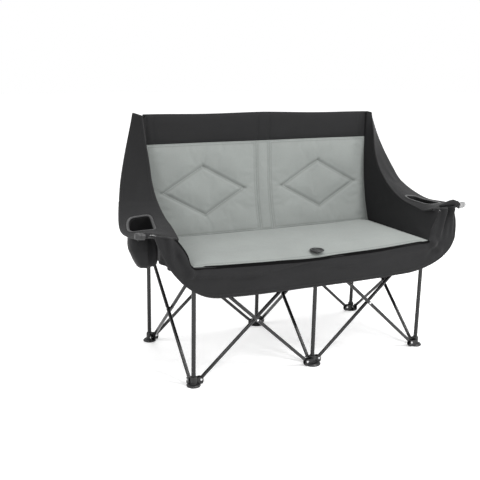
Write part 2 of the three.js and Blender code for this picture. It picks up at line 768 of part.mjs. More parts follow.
// Distance off the arm's cloth at a place, upwards where it is positive.
function armOffset(u, v, distance) {
  const step = 1 / creaseShares.length / creaseShares.length;
  const across = armPlace(u + step, v).sub(armPlace(u - step, v));
  const along = armPlace(u, v + step).sub(armPlace(u, v - step));
  const normal = across.cross(along).normalize();
  return armPlace(u, v).addScaledVector(normal, distance * Math.sign(normal.z));
}

// The cup opening's outline on the arm, as shares of the arm's cloth: a rectangle with rounded corners, and
// two more points along each straight side so that it follows the cloth.
function cupShares() {
  const shares = [];
  const straight = 1 - CUP_CORNER_SHARE;
  for (const [right, rear, turns] of [[1, 1, 0], [-1, 1, 1], [-1, -1, 2], [1, -1, 3]]) {
    for (const angle of evenly((turns * Math.PI) / 2, ((turns + 1) * Math.PI) / 2, CORNER_POINTS)) {
      const across = right * straight + CUP_CORNER_SHARE * Math.cos(angle);
      shares.push([across, rear * straight + CUP_CORNER_SHARE * Math.sin(angle)]);
    }
  }
  return shares.flatMap(([across, along], k) => {
    const [nextAcross, nextAlong] = shares[(k + 1) % shares.length];
    if (Math.hypot(nextAcross - across, nextAlong - along) < straight) return [[across, along]];
    return [0, 1 / 3, 2 / 3].map((s) => [mix(across, nextAcross, s), mix(along, nextAlong, s)]);
  });
}

// The outline at a distance off the cloth, grown outwards by a margin.
function cupRing(side, distance, margin) {
  const left = armPlace(CUP_ACROSS_SHARE - CUP_HALF_ACROSS_SHARE, CUP_ALONG_SHARE);
  const right = armPlace(CUP_ACROSS_SHARE + CUP_HALF_ACROSS_SHARE, CUP_ALONG_SHARE);
  const near = armPlace(CUP_ACROSS_SHARE, CUP_ALONG_SHARE - CUP_HALF_ALONG_SHARE);
  const far = armPlace(CUP_ACROSS_SHARE, CUP_ALONG_SHARE + CUP_HALF_ALONG_SHARE);
  const growAcross = 1 + (2 * margin) / left.distanceTo(right);
  const growAlong = 1 + (2 * margin) / near.distanceTo(far);
  return cupShares().map(([across, along]) => {
    const u = CUP_ACROSS_SHARE + CUP_HALF_ACROSS_SHARE * across * growAcross;
    const v = CUP_ALONG_SHARE + CUP_HALF_ALONG_SHARE * along * growAlong;
    return armOffset(u, v, distance).multiply(new THREE.Vector3(side, 1, 1));
  });
}

// The same outline lowered towards the pouch's floor: depthShare is 0 at the rim and 1 at the floor.
function pouchRing(rim, depthShare, floorZ) {
  const middle = rim.reduce((sum, p) => sum.add(p), new THREE.Vector3()).divideScalar(rim.length);
  const bulge = CUP_BULGE_SHARE * Math.sin(Math.PI * depthShare);
  const scale = mix(1, CUP_FLOOR_SHARE, depthShare * depthShare) + bulge;
  return rim.map((p) => {
    const place = middle.clone().lerp(p, scale);
    return place.setZ(mix(p.z, floorZ, depthShare));
  });
}

// A closed solid through rings of equal point counts, with a fan over each end.
function loft(rings) {
  const count = rings[0].length;
  const positions = rings.flatMap((ring) => ring.flatMap((p) => p.toArray()));
  const index = [];
  for (let r = 0; r + 1 < rings.length; r++) {
    for (let k = 0; k < count; k++) {
      const a = r * count + k;
      const b = r * count + ((k + 1) % count);
      index.push(a, b, b + count, a, b + count, a + count);
    }
  }
  for (const end of [0, rings.length - 1]) {
    const middle = rings[end].reduce((sum, p) => sum.add(p), new THREE.Vector3()).divideScalar(count);
    const fan = positions.length / 3;
    positions.push(...middle.toArray());
    for (let k = 0; k < count; k++) {
      const a = end * count + k;
      const b = end * count + ((k + 1) % count);
      index.push(...(end === 0 ? [fan, b, a] : [fan, a, b]));
    }
  }
  const geometry = new THREE.BufferGeometry();
  geometry.setAttribute("position", new THREE.Float32BufferAttribute(positions, 3));
  geometry.setIndex(index);
  return solid(geometry);
}

function armrest(side) {
  const plate = armSection(side, 0, ELBOW_SHARE, ARM_CLOTH, ARM_COLUMNS, ARM_ROWS);
  const over = cupRing(side, 0, 0);
  const level = (lift) => over.map((p) => p.clone().setZ(ARM_Z + lift));
  return plate.subtract(loft([level(-CUP_DEPTH), level(CUP_DEPTH)]));
}

// The cup pouch hangs from the arm round the opening: an open cloth cup that narrows to its floor.
function cupPouch(side) {
  const under = -ARM_CLOTH / 2 - CLOTH_GAP;
  const floorZ = ARM_Z + under - CUP_DEPTH;
  const outerRim = cupRing(side, under, CUP_WALL);
  const innerRim = cupRing(side, under, 0);
  const outer = CUP_DEPTH_SHARES.map((share) => pouchRing(outerRim, share, floorZ));
  const inner = CUP_DEPTH_SHARES.map((share) => pouchRing(innerRim, share, floorZ + CUP_WALL));
  return loft([...outer.reverse(), ...inner]);
}

// A piped rim that stands on the arm round the cup opening.
function cupTrim(side) {
  const lift = ARM_CLOTH / 2 + TRIM_RADIUS + CLOTH_GAP;
  const centres = cupRing(side, lift, TRIM_RADIUS + CLOTH_GAP);
  const count = centres.length;
  const up = new THREE.Vector3(0, 0, 1);
  const positions = [];
  const index = [];
  centres.forEach((centre, k) => {
    const along = centres[(k + 1) % count].clone().sub(centres[(k + count - 1) % count]).normalize();
    const out = along.clone().cross(up).normalize();
    const lifted = out.clone().cross(along).normalize();
    for (let s = 0; s < PIPING_SIDES; s++) {
      const angle = (2 * Math.PI * s) / PIPING_SIDES;
      const p = centre.clone().addScaledVector(out, TRIM_RADIUS * Math.cos(angle));
      positions.push(...p.addScaledVector(lifted, TRIM_RADIUS * Math.sin(angle)).toArray());
    }
  });
  for (let k = 0; k < count; k++) {
    for (let s = 0; s < PIPING_SIDES; s++) {
      const a = k * PIPING_SIDES + s;
      const b = k * PIPING_SIDES + ((s + 1) % PIPING_SIDES);
      const onward = (((k + 1) % count) - k) * PIPING_SIDES;
      index.push(a, b, b + onward, a, b + onward, a + onward);
    }
  }
  const geometry = new THREE.BufferGeometry();
  geometry.setAttribute("position", new THREE.Float32BufferAttribute(positions, 3));
  geometry.setIndex(index);
  return solid(geometry);
}

// Where the side's cloth meets the seat's side, and beyond the corner the back's edge.
function sideSeam(v) {
  const x = HALF_SEAT + SIDE_CLOTH / 2 + REST_GAP;
  const cornerZ = SEAT_REAR_Z + SEAT_REAR_CORNER_RISE;
  const backEdge = (z) => backFace(BACK_WIDTH / 2, z) - SIDE_BEFORE_BACK;
  const corner = new THREE.Vector3(x, backEdge(cornerZ), cornerZ);
  if (v < SIDE_CORNER_SHARE) {
    const front = new THREE.Vector3(x, SEAT_FRONT_Y + BAND_CLOTH, SEAT_CORNER_Z);
    return front.lerp(corner, v / SIDE_CORNER_SHARE);
  }
  const up = (v - SIDE_CORNER_SHARE) / (1 - SIDE_CORNER_SHARE);
  const z = mix(cornerZ, BACK_TOP_CORNER_Z - SIDE_BEFORE_BACK, up);
  return new THREE.Vector3(x, backEdge(z), z);
}

// Below the seam hangs a skirt, short at both ends, where the hubs are. Beyond the corner it is only a hem.
function sideFoot(v) {
  const share = v / SIDE_CORNER_SHARE;
  const full = THREE.MathUtils.smoothstep(share, SKIRT_FRONT_START, SKIRT_FRONT_END);
  const hung = full * (1 - THREE.MathUtils.smoothstep(share, SKIRT_REAR_START, 1));
  const turned = THREE.MathUtils.smoothstep(v - SIDE_CORNER_SHARE, -SIDE_TURN_SHARE, SIDE_TURN_SHARE);
  const depth = mix(SIDE_HEM, SKIRT_DEPTH, hung);
  const turn = (turned * Math.PI) / 2;
  const seam = sideSeam(v);
  seam.add(new THREE.Vector3(hung * SKIRT_FLARE, depth * Math.sin(turn), -depth * Math.cos(turn)));
  return seam;
}

// The side wall rises from its seam on the seat and back to the crease under the arm.
function sideWall(side) {
  const surface = sided((u, v) => {
    const seam = sideSeam(v);
    if (u < SIDE_SEAM_SHARE) return sideFoot(v).lerp(seam, u / SIDE_SEAM_SHARE);
    const head = crease.getPoint(SIDE_TOP_SHARE * v);
    const reach = head.distanceTo(seam);
    const up = (u - SIDE_SEAM_SHARE) / (1 - SIDE_SEAM_SHARE);
    return seam.lerp(head, (up * (reach - SIDE_CLEAR_OF_ARM)) / reach);
  }, side);
  return solid(cloth(surface, SIDE_CLOTH, SIDE_COLUMNS, SIDE_ROWS));
}

// Front band

// The band hangs from the seat's front edge and sweeps up to both arms. Each row holds the inner edge's
// shares outwards and upwards, then the outer edge's.
const bandShares = [
  [0, 0.45, 0, 0],
  [0.513, 0.49, 0.513, 0.016],
  [0.715, 0.512, 0.715, 0.061],
  [0.795, 0.524, 0.871, 0.243],
  [0.825, 0.7, 0.946, 0.466],
  [0.86, 0.845, 0.991, 0.87],
  [0.885, 0.93, 1, 1],
];

function bandCurve(outColumn, upColumn) {
  const points = bandShares.map((row) => {
    const z = mix(BAND_BOTTOM_Z, BAND_TOP_Z, row[upColumn]);
    return new THREE.Vector3(row[outColumn] * BAND_OUTER_REACH, 0, z);
  });
  return new THREE.CatmullRomCurve3(points);
}

function frontBand() {
  const inner = bandCurve(0, 1);
  const outer = bandCurve(2, 3);
  const y = SEAT_FRONT_Y - BAND_CLOTH / 2 - REST_GAP;
  const surface = (u, v) => {
    const out = 2 * v - 1;
    const place = inner.getPoint(Math.abs(out)).lerp(outer.getPoint(Math.abs(out)), u);
    const up = (place.z - SEAT_CORNER_Z) / (BAND_TOP_Z - SEAT_CORNER_Z);
    return new THREE.Vector3(Math.sign(out) * place.x, y + BAND_LEAN * Math.max(0, up), place.z);
  };
  return solid(cloth(surface, BAND_CLOTH, BAND_ROWS, BAND_COLUMNS));
}

// Assembly

const loveseat = new THREE.Group();
const columns = [
  { name: "left", column: -1 },
  { name: "middle", column: 0 },
  { name: "right", column: 1 },
];
const rows = [
  { name: "front", y: -HALF_DEPTH, inward: Math.PI / 2 },
  { name: "rear", y: HALF_DEPTH, inward: -Math.PI / 2 },
];

// The clevises at one post: one towards the other row, one towards each neighbour in its own row.
function directionsAt(row, column) {
  const directions = [{ angle: row.inward, reach: PIVOT_REACH_Y }];
  if (column < 1) directions.push({ angle: 0, reach: PIVOT_REACH_X });
  if (column > -1) directions.push({ angle: Math.PI, reach: PIVOT_REACH_X });
  return directions;
}

function addRearPost(post, name, directions) {
  const bore = POST_RADIUS - TUBE_WALL;
  const tube = sleeve(bore, POST_RADIUS, FOOT_FLOOR + REST_GAP, REAR_POST_TOP, TUBE_SIDES);
  post.add(piece("post_" + name, solid(tube), "steel"));
  post.add(piece("hub_" + name, hub(POST_RADIUS + RUNNING_GAP, directions, 0), "plastic"));
  post.add(piece("pocket_" + name, pocket(), "dark_cloth"));
}

function addFrontPost(post, name, directions, column) {
  const bore = POST_RADIUS - TUBE_WALL;
  const outer = sleeve(bore, POST_RADIUS, FOOT_FLOOR + REST_GAP, OUTER_TUBE_TOP, TUBE_SIDES);
  const low = OUTER_TUBE_TOP - INNER_TUBE_INSERT;
  const inner = sleeve(INNER_TUBE_RADIUS - TUBE_WALL, INNER_TUBE_RADIUS, low, INNER_TUBE_TOP, TUBE_SIDES);
  post.add(piece("leg_outer_" + name, solid(outer), "steel"));
  post.add(piece("leg_inner_" + name, solid(inner), "steel"));
  post.add(piece("hub_" + name, hub(INNER_TUBE_RADIUS + REST_GAP, directions, column), "plastic"));
}

function addPost(row, { name, column }) {
  const post = new THREE.Group();
  post.position.set(column * POST_SPACING_X, row.y, 0);
  const directions = directionsAt(row, column);
  const radius = column === 0 ? MIDDLE_FOOT_RADIUS : CORNER_FOOT_RADIUS;
  const fullName = row.name + "_" + name;
  post.add(piece("foot_" + fullName, foot(radius, directions), "plastic"));
  if (row.name === "rear") addRearPost(post, fullName, directions);
  else addFrontPost(post, fullName, directions, column);
  if (row.name === "front" && column !== 0) {
    post.add(piece("arm_tube_" + name, armTube(column), "steel"));
    post.add(piece("arm_tip_" + name, armTip(column), "tip"));
  }
  loveseat.add(post);
}

// A scissor pair lies along +X of its group, from the first post to the second. Each rod runs on the left
// of the way from its own foot.
function addPair(name, x, y, turn, spacing) {
  const pair = new THREE.Group();
  pair.position.set(x, y, (LOWER_PIVOT_Z + UPPER_PIVOT_Z) / 2);
  pair.rotation.z = turn;
  const rising = piece("rod_" + name + "_rising", rod(true), "steel");
  rising.position.set(spacing / 2, ROD_SIDE_OFFSET, 0);
  rising.rotation.y = ROD_LEAN;
  const falling = piece("rod_" + name + "_falling", rod(false), "steel");
  falling.position.set(spacing / 2, -ROD_SIDE_OFFSET, 0);
  falling.rotation.y = -ROD_LEAN;
  pair.add(rising, falling);
  loveseat.add(pair);
}

function addFrame() {
  for (const row of rows) {
    for (const place of columns) addPost(row, place);
    addPair(row.name + "_left", -POST_SPACING_X, row.y, 0, POST_SPACING_X);
    addPair(row.name + "_right", 0, row.y, 0, POST_SPACING_X);
  }
  for (const { name, column } of columns) {
    addPair("side_" + name, column * POST_SPACING_X, -HALF_DEPTH, Math.PI / 2, POST_SPACING_Y);
  }
}

function addSeat() {
  const creaseY = SEAT_REAR_Y - SEAT_CREASE_FROM_REAR;
  const creaseRoot = Math.sqrt((creaseY - SEAT_FRONT_Y) / (SEAT_REAR_Y - SEAT_FRONT_Y));
  const creaseShare = (2 / Math.PI) * Math.asin(creaseRoot);
  const holeRadius = SEAT_CAP_STEM_RADIUS + SEAT_CAP_STEM_CLEARANCE;
  const hole = sleeve(0, holeRadius, LOWER_PIVOT_Z, REAR_POST_TOP, RIVET_SIDES);
  hole.translate(0, -HALF_DEPTH, 0);
  const front = seatSection(SEAT_FRONT_Y, creaseY - REST_GAP, 0, creaseShare, SEAT_FRONT_ROWS);
  loveseat.add(piece("seat_pad_front", front.subtract(solid(hole)), "grey_cloth"));
  const rear = seatSection(creaseY, SEAT_REAR_Y, creaseShare, 1, SEAT_REAR_ROWS);
  loveseat.add(piece("seat_pad_rear", rear, "grey_cloth"));
  const cap = piece("seat_cap", seatCap(), "plastic");
  cap.position.y = -HALF_DEPTH;
  loveseat.add(cap);
}

function addCloth() {
  loveseat.add(piece("back_panel", backPanel(), "dark_cloth"));
  loveseat.add(piece("back_channel_pad", backChannel(), "grey_cloth"));
  loveseat.add(piece("front_band", frontBand(), "dark_cloth"));
  for (const { name, column } of columns.filter((place) => place.column !== 0)) {
    loveseat.add(piece("back_pad_" + name, greyPad(column), "grey_cloth"));
    loveseat.add(piece("side_wall_" + name, sideWall(column), "dark_cloth"));
    loveseat.add(piece("shoulder_" + name, shoulder(column), "dark_cloth"));
    loveseat.add(piece("armrest_" + name, armrest(column), "dark_cloth"));
    loveseat.add(piece("cup_pouch_" + name, cupPouch(column), "dark_cloth"));
    loveseat.add(piece("cup_trim_" + name, cupTrim(column), "trim_cloth"));
  }
}

addFrame();
addSeat();
addCloth();

export default loveseat;
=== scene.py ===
import math

import bmesh
import bpy
import numpy as np
from mathutils import Matrix, Vector, noise


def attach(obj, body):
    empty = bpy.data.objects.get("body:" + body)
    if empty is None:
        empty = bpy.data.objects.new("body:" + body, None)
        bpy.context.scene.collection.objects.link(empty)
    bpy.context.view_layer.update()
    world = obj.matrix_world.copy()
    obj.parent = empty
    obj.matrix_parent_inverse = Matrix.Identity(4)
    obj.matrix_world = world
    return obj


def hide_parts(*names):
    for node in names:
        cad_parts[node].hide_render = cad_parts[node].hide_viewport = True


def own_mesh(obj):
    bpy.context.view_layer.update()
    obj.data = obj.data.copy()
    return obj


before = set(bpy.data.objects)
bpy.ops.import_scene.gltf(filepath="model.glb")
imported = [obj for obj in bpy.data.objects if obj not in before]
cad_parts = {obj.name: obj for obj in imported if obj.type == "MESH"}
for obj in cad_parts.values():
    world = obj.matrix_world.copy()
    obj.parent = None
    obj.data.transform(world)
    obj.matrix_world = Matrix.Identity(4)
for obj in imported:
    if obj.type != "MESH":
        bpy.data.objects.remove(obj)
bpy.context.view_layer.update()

# Sizes and places, in metres
POST_X, POST_Y = 0.5, 0.24
LOW_Z, HIGH_Z = 0.020, 0.422
REACH_X, REACH_Y = 0.030, 0.020
SPAN = 0.440
ROD_R, ROD_SIDE, ROD_TAIL = 0.00675, 0.0075, 0.007
POST_R, INNER_R, WALL = 0.008, 0.0064, 0.0012
POST_FOOT, REAR_TOP = 0.0034, 0.914
OUTER_TOP, INNER_LOW, INNER_TOP = 0.398, 0.134, 0.430
COLLAR, HUB_BELOW, HUB_ABOVE = 0.0125, 0.017, 0.009
EAR_THICK, EAR_ROOT, EAR_R = 0.0028, 0.0055, 0.009
SLOT_HALF, ARM_SLOT_HALF, RIVET_GAP = ROD_R + 0.00045, 0.00745, 0.0003
SEAT_W, SEAT_FRONT, SEAT_REAR = 1.022, -0.261, 0.1565
SEAT_SPLIT = 0.0375
BACK_W, PAD_W = 1.042, 1.022
PAD_IN, PAD_OUT, PAD_LOW, PAD_HIGH, CHANNEL_HALF = 0.0304, 0.511, 0.4504, 0.8188, 0.0298
BACK_FOOT, GREY_TOP = 0.440, 0.819
CLOTH_FRONT = 0.2271
ARM_FRONT, ARM_Z, SHOULDER_Z, SHOULDER_Y = -0.224, 0.575, 0.929, 0.256
ARM_OUT = 0.705
BAND_HIGH = 0.572
CUP_DEPTH, WALL_X, ARM_R = 0.143, 0.5134, 0.007
ROD_LEN = math.hypot(SPAN, HIGH_Z - LOW_Z)

# The rods' lean from upright at rest
LEAN = math.atan2(SPAN, HIGH_Z - LOW_Z)

# The cup opening's middle and half size, in shares across and along the arm's cloth, and its points around
CUP_U, CUP_V, CUP_HU, CUP_HV = 0.565, 0.205, 0.25, 0.085
CUP_POINTS = 144

# A foot's radius and its count of ribs
CORNER_FOOT, MIDDLE_FOOT = (0.026, 8), (0.033, 10)

# Thickness of each cloth
PANEL_CLOTH, WALL_CLOTH, STRAP_CLOTH, TIE_CLOTH = 0.0022, 0.0032, 0.0054, 0.0026
ARM_CLOTH, POUCH_CLOTH, BAND_CLOTH, GAP_SHADE_CLOTH, CORNER_CLOTH = 0.0072, 0.0024, 0.0034, 0.0030, 0.0032

# How far the back's pads stand out at their edges and at their crowns, and the sewn groove's depth and width
PAD_EDGE, PAD_CROWN, CHANNEL_CROWN, TOP_CROWN, GROOVE = 0.003, 0.0135, 0.0078, 0.0082, 0.0085

# Metres of arm cloth for one share along it, across it, from edge to edge and across the cup
ALONG_M, ACROSS_M, EDGE_M, CUP_M = 0.42, 0.16, 0.19, 0.163

# The share of the side wall's cloth that hangs below its seam with the seat
SEAM_U = 0.22

# How far out the strap's top piping and its tie to the back end
TOP_END, TIE_END = 0.5205, 0.5215

SIDES = (("left", -1), ("right", 1))
COLUMNS = (("left", -1), ("middle", 0), ("right", 1))
ROWS = {"front": -POST_Y, "rear": POST_Y}


# Camera at the photograph's place

def make_camera():
    data = bpy.data.cameras.new("camera")
    data.lens, data.sensor_width = 57.43, 36
    cam = bpy.data.objects.new("camera", data)
    bpy.context.scene.collection.objects.link(cam)
    eye, aim = Vector((-1.484, -2.613, 1.199)), Vector((0.0297, 0.4805, 0.3261))
    turn = (aim - eye).to_track_quat("-Z", "Y").to_matrix().to_4x4()
    cam.matrix_world = Matrix.Translation(eye) @ turn @ Matrix.Rotation(math.radians(1.05), 4, "Z")
    bpy.context.scene.camera = cam


make_camera()


# Materials

class Nodes:
    """A small helper for a material's node tree."""

    def __init__(self, name, color, roughness, metallic=0.0):
        self.mat = bpy.data.materials.new(name)
        self.mat.use_nodes = True
        self.tree = self.mat.node_tree
        self.shader = self.tree.nodes["Principled BSDF"]
        self.shader.inputs["Base Color"].default_value = (*color, 1)
        self.shader.inputs["Roughness"].default_value = roughness
        self.shader.inputs["Metallic"].default_value = metallic

    def add(self, kind, inputs=None, **settings):
        node = self.tree.nodes.new(kind)
        for key, value in settings.items():
            setattr(node, key, value)
        for key, value in (inputs or {}).items():
            if isinstance(value, bpy.types.NodeSocket):
                self.tree.links.new(value, node.inputs[key])
            else:
                node.inputs[key].default_value = value
        return node

    def place(self):
        return self.add("ShaderNodeTexCoord").outputs["Object"]

    def noise(self, place, scale, detail, roughness=0.5):
        inputs = {"Vector": place, "Scale": scale, "Detail": detail, "Roughness": roughness}
        return self.add("ShaderNodeTexNoise", inputs).outputs["Fac"]

    def value(self, name):
        return self.add("ShaderNodeAttribute", attribute_name=name).outputs["Fac"]

    def math(self, operation, a, b=0.0, c=0.0):
        return self.add("ShaderNodeMath", {0: a, 1: b, 2: c}, operation=operation).outputs[0]

    def ramp(self, value, low, high, out_low=0.0, out_high=1.0):
        inputs = {0: value, 1: low, 2: high, 3: out_low, 4: out_high}
        return self.add("ShaderNodeMapRange", inputs, clamp=True).outputs[0]

    def mix(self, factor, a, b):
        return self.add("ShaderNodeMix", {0: factor, 6: a, 7: b}, data_type="RGBA").outputs[2]

    def link(self, output, name):
        self.tree.links.new(output, self.shader.inputs[name])

    def bump(self, height, strength, distance, under=None):
        inputs = {"Strength": strength, "Distance": distance, "Height": height}
        if under is not None:
            inputs["Normal"] = under
        return self.add("ShaderNodeBump", inputs).outputs[0]


def shade(color, k):
    return (*[min(1, c * k) for c in color], 1)


def coated_steel():
    """Black powder-coated tube: fine orange peel, slightly worn sheen."""
    n = Nodes("coated steel", (0.006, 0.006, 0.0065), 0.3)
    place = n.place()
    broad = n.noise(place, 9, 4)
    fine = n.noise(place, 900, 2)
    scuff = n.noise(place, 160, 6)
    worn = n.ramp(scuff, 0.66, 0.72)
    n.link(n.mix(worn, shade((0.009, 0.009, 0.0095), 1), shade((0.024, 0.024, 0.025), 1)), "Base Color")
    n.link(n.ramp(broad, 0.3, 0.7, 0.09, 0.14), "Roughness")
    n.link(n.bump(fine, 0.12, 0.0003), "Normal")
    n.shader.inputs["Specular IOR Level"].default_value = 0.42
    return n.mat


def bright_metal():
    n = Nodes("rivet steel", (0.72, 0.72, 0.73), 0.28, 1.0)
    place = n.place()
    spots = n.noise(place, 700, 4)
    n.link(n.ramp(spots, 0.3, 0.75, 0.2, 0.42), "Roughness")
    dull = n.ramp(spots, 0.55, 0.7)
    n.link(n.mix(dull, shade((0.72, 0.72, 0.73), 1), shade((0.5, 0.5, 0.5), 1)), "Base Color")
    n.link(n.bump(spots, 0.1, 0.0004), "Normal")
    return n.mat


def moulded(name, color, roughness, grain=1400):
    """Moulded plastic with a fine spark-eroded grain and faint scuffs."""
    n = Nodes(name, color, roughness)
    place = n.place()
    fine = n.noise(place, grain, 3)
    broad = n.noise(place, 40, 5)
    n.link(n.mix(n.ramp(broad, 0.4, 0.75), shade(color, 0.85), shade(color, 1.35)), "Base Color")
    n.link(n.ramp(broad, 0.3, 0.7, roughness - 0.06, roughness + 0.1), "Roughness")
    n.link(n.bump(fine, 0.25, 0.0004), "Normal")
    return n.mat


def woven(name, color, roughness, pitch=0.0011, sheen=0.15, pucker=0.5, gloss=0.16, seam_shade=0.22):
    """Plain-woven polyester on a UV map in metres, with stitch lines where the piece's attributes say.

    pucker is how strongly small ripples show, gloss the specular level, and the last one, the seam shade, how
    much painted shade darkens the cloth beside a seam, standing for the shade in the seam's groove.
    """
    n = Nodes(name, color, roughness)
    uv = n.add("ShaderNodeUVMap", uv_map="metres").outputs[0]
    split = n.add("ShaderNodeSeparateXYZ", {0: uv})
    u, v = split.outputs[0], split.outputs[1]
    turn = 2 * math.pi / pitch
    warp = n.math("SINE", n.math("MULTIPLY", u, turn))
    weft = n.math("SINE", n.math("MULTIPLY", v, turn))
    over = n.math("MULTIPLY", warp, weft)
    crossing = n.math("MULTIPLY_ADD", n.math("ABSOLUTE", over), 0.6, n.math("MULTIPLY", over, 0.4))
    place = n.place()
    slub = n.noise(place, 260, 4)
    cloud = n.noise(place, 7, 5)
    ripple = n.noise(place, 34, 5, 0.55)
    uneven = n.math("MULTIPLY_ADD", slub, 0.35, n.math("MULTIPLY", cloud, 0.5))
    tone = n.math("MULTIPLY_ADD", crossing, 0.35, uneven)
    base = n.mix(n.ramp(tone, 0.2, 0.8), shade(color, 0.86), shade(color, 1.16))
    seam = n.value("seam")
    run = n.value("run")
    line = n.ramp(n.math("ABSOLUTE", seam), 0.0005, 0.0011, 1, 0)
    dash = n.ramp(n.math("FRACT", n.math("MULTIPLY", run, 260)), 0.62, 0.7, 1, 0)
    stitch = n.math("MULTIPLY", line, dash)
    # Painted shade: within 9 mm of a seam the cloth is darkened, for the shade that falls in the seam's
    # groove.
    near = n.ramp(n.math("ABSOLUTE", seam), 0.0, 0.009, 1, 0)
    shaded = n.mix(n.math("MULTIPLY", near, seam_shade), base, shade(color, 0.55))
    n.link(n.mix(stitch, shaded, shade(color, 1.5)), "Base Color")
    n.link(n.ramp(slub, 0.3, 0.7, roughness - 0.08, roughness + 0.06), "Roughness")
    n.shader.inputs["Sheen Weight"].default_value = sheen
    n.shader.inputs["Sheen Roughness"].default_value = 0.4
    n.shader.inputs["Specular IOR Level"].default_value = gloss
    folds = n.bump(ripple, pucker, 0.0016)
    weave = n.bump(crossing, 0.35, 0.00022, folds)
    n.link(n.bump(stitch, 0.7, 0.0006, weave), "Normal")
    return n.mat


DARK = (0.0165, 0.0165, 0.0172)
GREY = (0.262, 0.279, 0.268)
steel = coated_steel()
rivet_metal = bright_metal()
black_plastic = moulded("foot plastic", (0.008, 0.008, 0.0085), 0.4)
cap_plastic = moulded("cap plastic", (0.012, 0.012, 0.0125), 0.36, 2200)
# The arm tips' caps are the same plastic: the left cap's colour is darkened as painted shade and the right
# cap's lightened as painted light.
tip_dark = moulded("tip plastic in painted shade", (0.026, 0.026, 0.027), 0.45)
tip_light = moulded("tip plastic with painted light", (0.3, 0.3, 0.3), 0.38)
dark_cloth = woven("charcoal cloth", DARK, 0.74, sheen=0.06)
inner_cloth = woven("charcoal lining", (0.0125, 0.0125, 0.013), 0.86, sheen=0.03)
# The grey cloth gets stronger painted shade beside its seams, round the pads' sewn diamonds.
grey_cloth = woven("grey cloth", GREY, 0.86, sheen=0.08, pucker=0.35, gloss=0.3, seam_shade=0.5)
# A near-black cloth for a strip and a piping along the front band's top edge: painted shade for the dark gap
# between the seat and the band.
gap_shade_cloth = woven("painted gap shade", (0.005, 0.005, 0.0052), 0.9, sheen=0.0, pucker=0.2, gloss=0.05)
binding = woven("edge binding", (0.022, 0.022, 0.0225), 0.62, pitch=0.0018, sheen=0.04, pucker=0.2)
trim_cloth = woven("cup binding", (0.032, 0.032, 0.033), 0.4, 0.0018, sheen=0.12, pucker=0.2, gloss=0.5)


# Mesh building

class Build:
    """Collects vertices, faces, UVs in metres and stitch attributes, and makes one object of them."""

    def __init__(self):
        self.v, self.f, self.m, self.uv, self.seam, self.run = [], [], [], [], [], []

    def add(self, verts, faces, mat=0, uv=None, seam=None, run=None):
        base = len(self.v)
        count = len(verts)
        self.v += [tuple(p) for p in verts]
        self.f += [tuple(base + i for i in face) for face in faces]
        self.m += [mat] * len(faces)
        self.uv += list(uv) if uv is not None else [(p[0] + p[1], p[2] + p[1]) for p in verts]
        self.seam += list(seam) if seam is not None else [1.0] * count
        self.run += list(run) if run is not None else [0.0] * count

    def grid(self, points, mat=0, closed_u=False, uv=None, seam=None, run=None, flip=False):
        """points is nu x nv x 3."""
        points = np.asarray(points, float)
        nu, nv = points.shape[:2]
        if uv is None:
            uv = metre_uv(points)
        faces = []
        for i in range(nu if closed_u else nu - 1):
            for j in range(nv - 1):
                a, b = i * nv + j, ((i + 1) % nu) * nv + j
                face = (a, b, b + 1, a + 1)
                faces.append(face[::-1] if flip else face)
        uv = np.asarray(uv).reshape(-1, 2)
        self.add(points.reshape(-1, 3), faces, mat, uv, flattened(seam), flattened(run))

    def mesh(self, name, mats, smooth=35):
        me = bpy.data.meshes.new(name)
        me.from_pydata(self.v, [], self.f)
        for m in mats:
            me.materials.append(m)
        me.polygons.foreach_set("material_index", self.m)
        layer = me.uv_layers.new(name="metres")
        loops = np.zeros(len(me.loops), dtype=np.int32)
        me.loops.foreach_get("vertex_index", loops)
        layer.data.foreach_set("uv", np.asarray(self.uv, np.float32)[loops].reshape(-1))
        for key in ("seam", "run"):
            values = np.asarray(getattr(self, key), np.float32)
            me.attributes.new(key, "FLOAT", "POINT").data.foreach_set("value", values)
        me.update()
        me.validate()
        me.shade_smooth()
        if smooth < 180:
            me.set_sharp_from_angle(angle=math.radians(smooth))
        return me

    def object(self, name, mats, smooth=35):
        ob = bpy.data.objects.new(name + "_look", self.mesh(name, mats, smooth))
        bpy.context.scene.collection.objects.link(ob)
        return ob


def flattened(values):
    return None if values is None else np.asarray(values, float).reshape(-1)


def metre_uv(points):
    """A UV map in metres for a grid of points: the mean lengths across and along."""
    du = np.linalg.norm(np.diff(points, axis=0), axis=2).mean(axis=1)
    dv = np.linalg.norm(np.diff(points, axis=1), axis=2).mean(axis=0)
    us = np.concatenate([[0], np.cumsum(du)])
    vs = np.concatenate([[0], np.cumsum(dv)])
    return np.stack(np.meshgrid(us, vs, indexing="ij"), axis=2)


def polar(radius, turn, z):
    return radius * math.cos(turn), radius * math.sin(turn), z


def lathe(profile, sides=40):
    """Vertices and faces of a profile of (radius, height) turned about Z; radius 0 closes on the axis."""
    verts, rings, faces = [], [], []
    for r, z in profile:
        if r == 0:
            rings.append([len(verts)] * sides)
            verts.append((0, 0, z))
        else:
            rings.append(list(range(len(verts), len(verts) + sides)))
            verts += [polar(r, 2 * math.pi * k / sides, z) for k in range(sides)]
    for a, b in zip(rings, rings[1:]):
        for k in range(sides):
            quad = [a[k], a[(k + 1) % sides], b[(k + 1) % sides], b[k]]
            face = [q for i, q in enumerate(quad) if q != quad[i - 1]]
            if len(set(face)) > 2:
                faces.append(tuple(dict.fromkeys(face)))
    return verts, faces


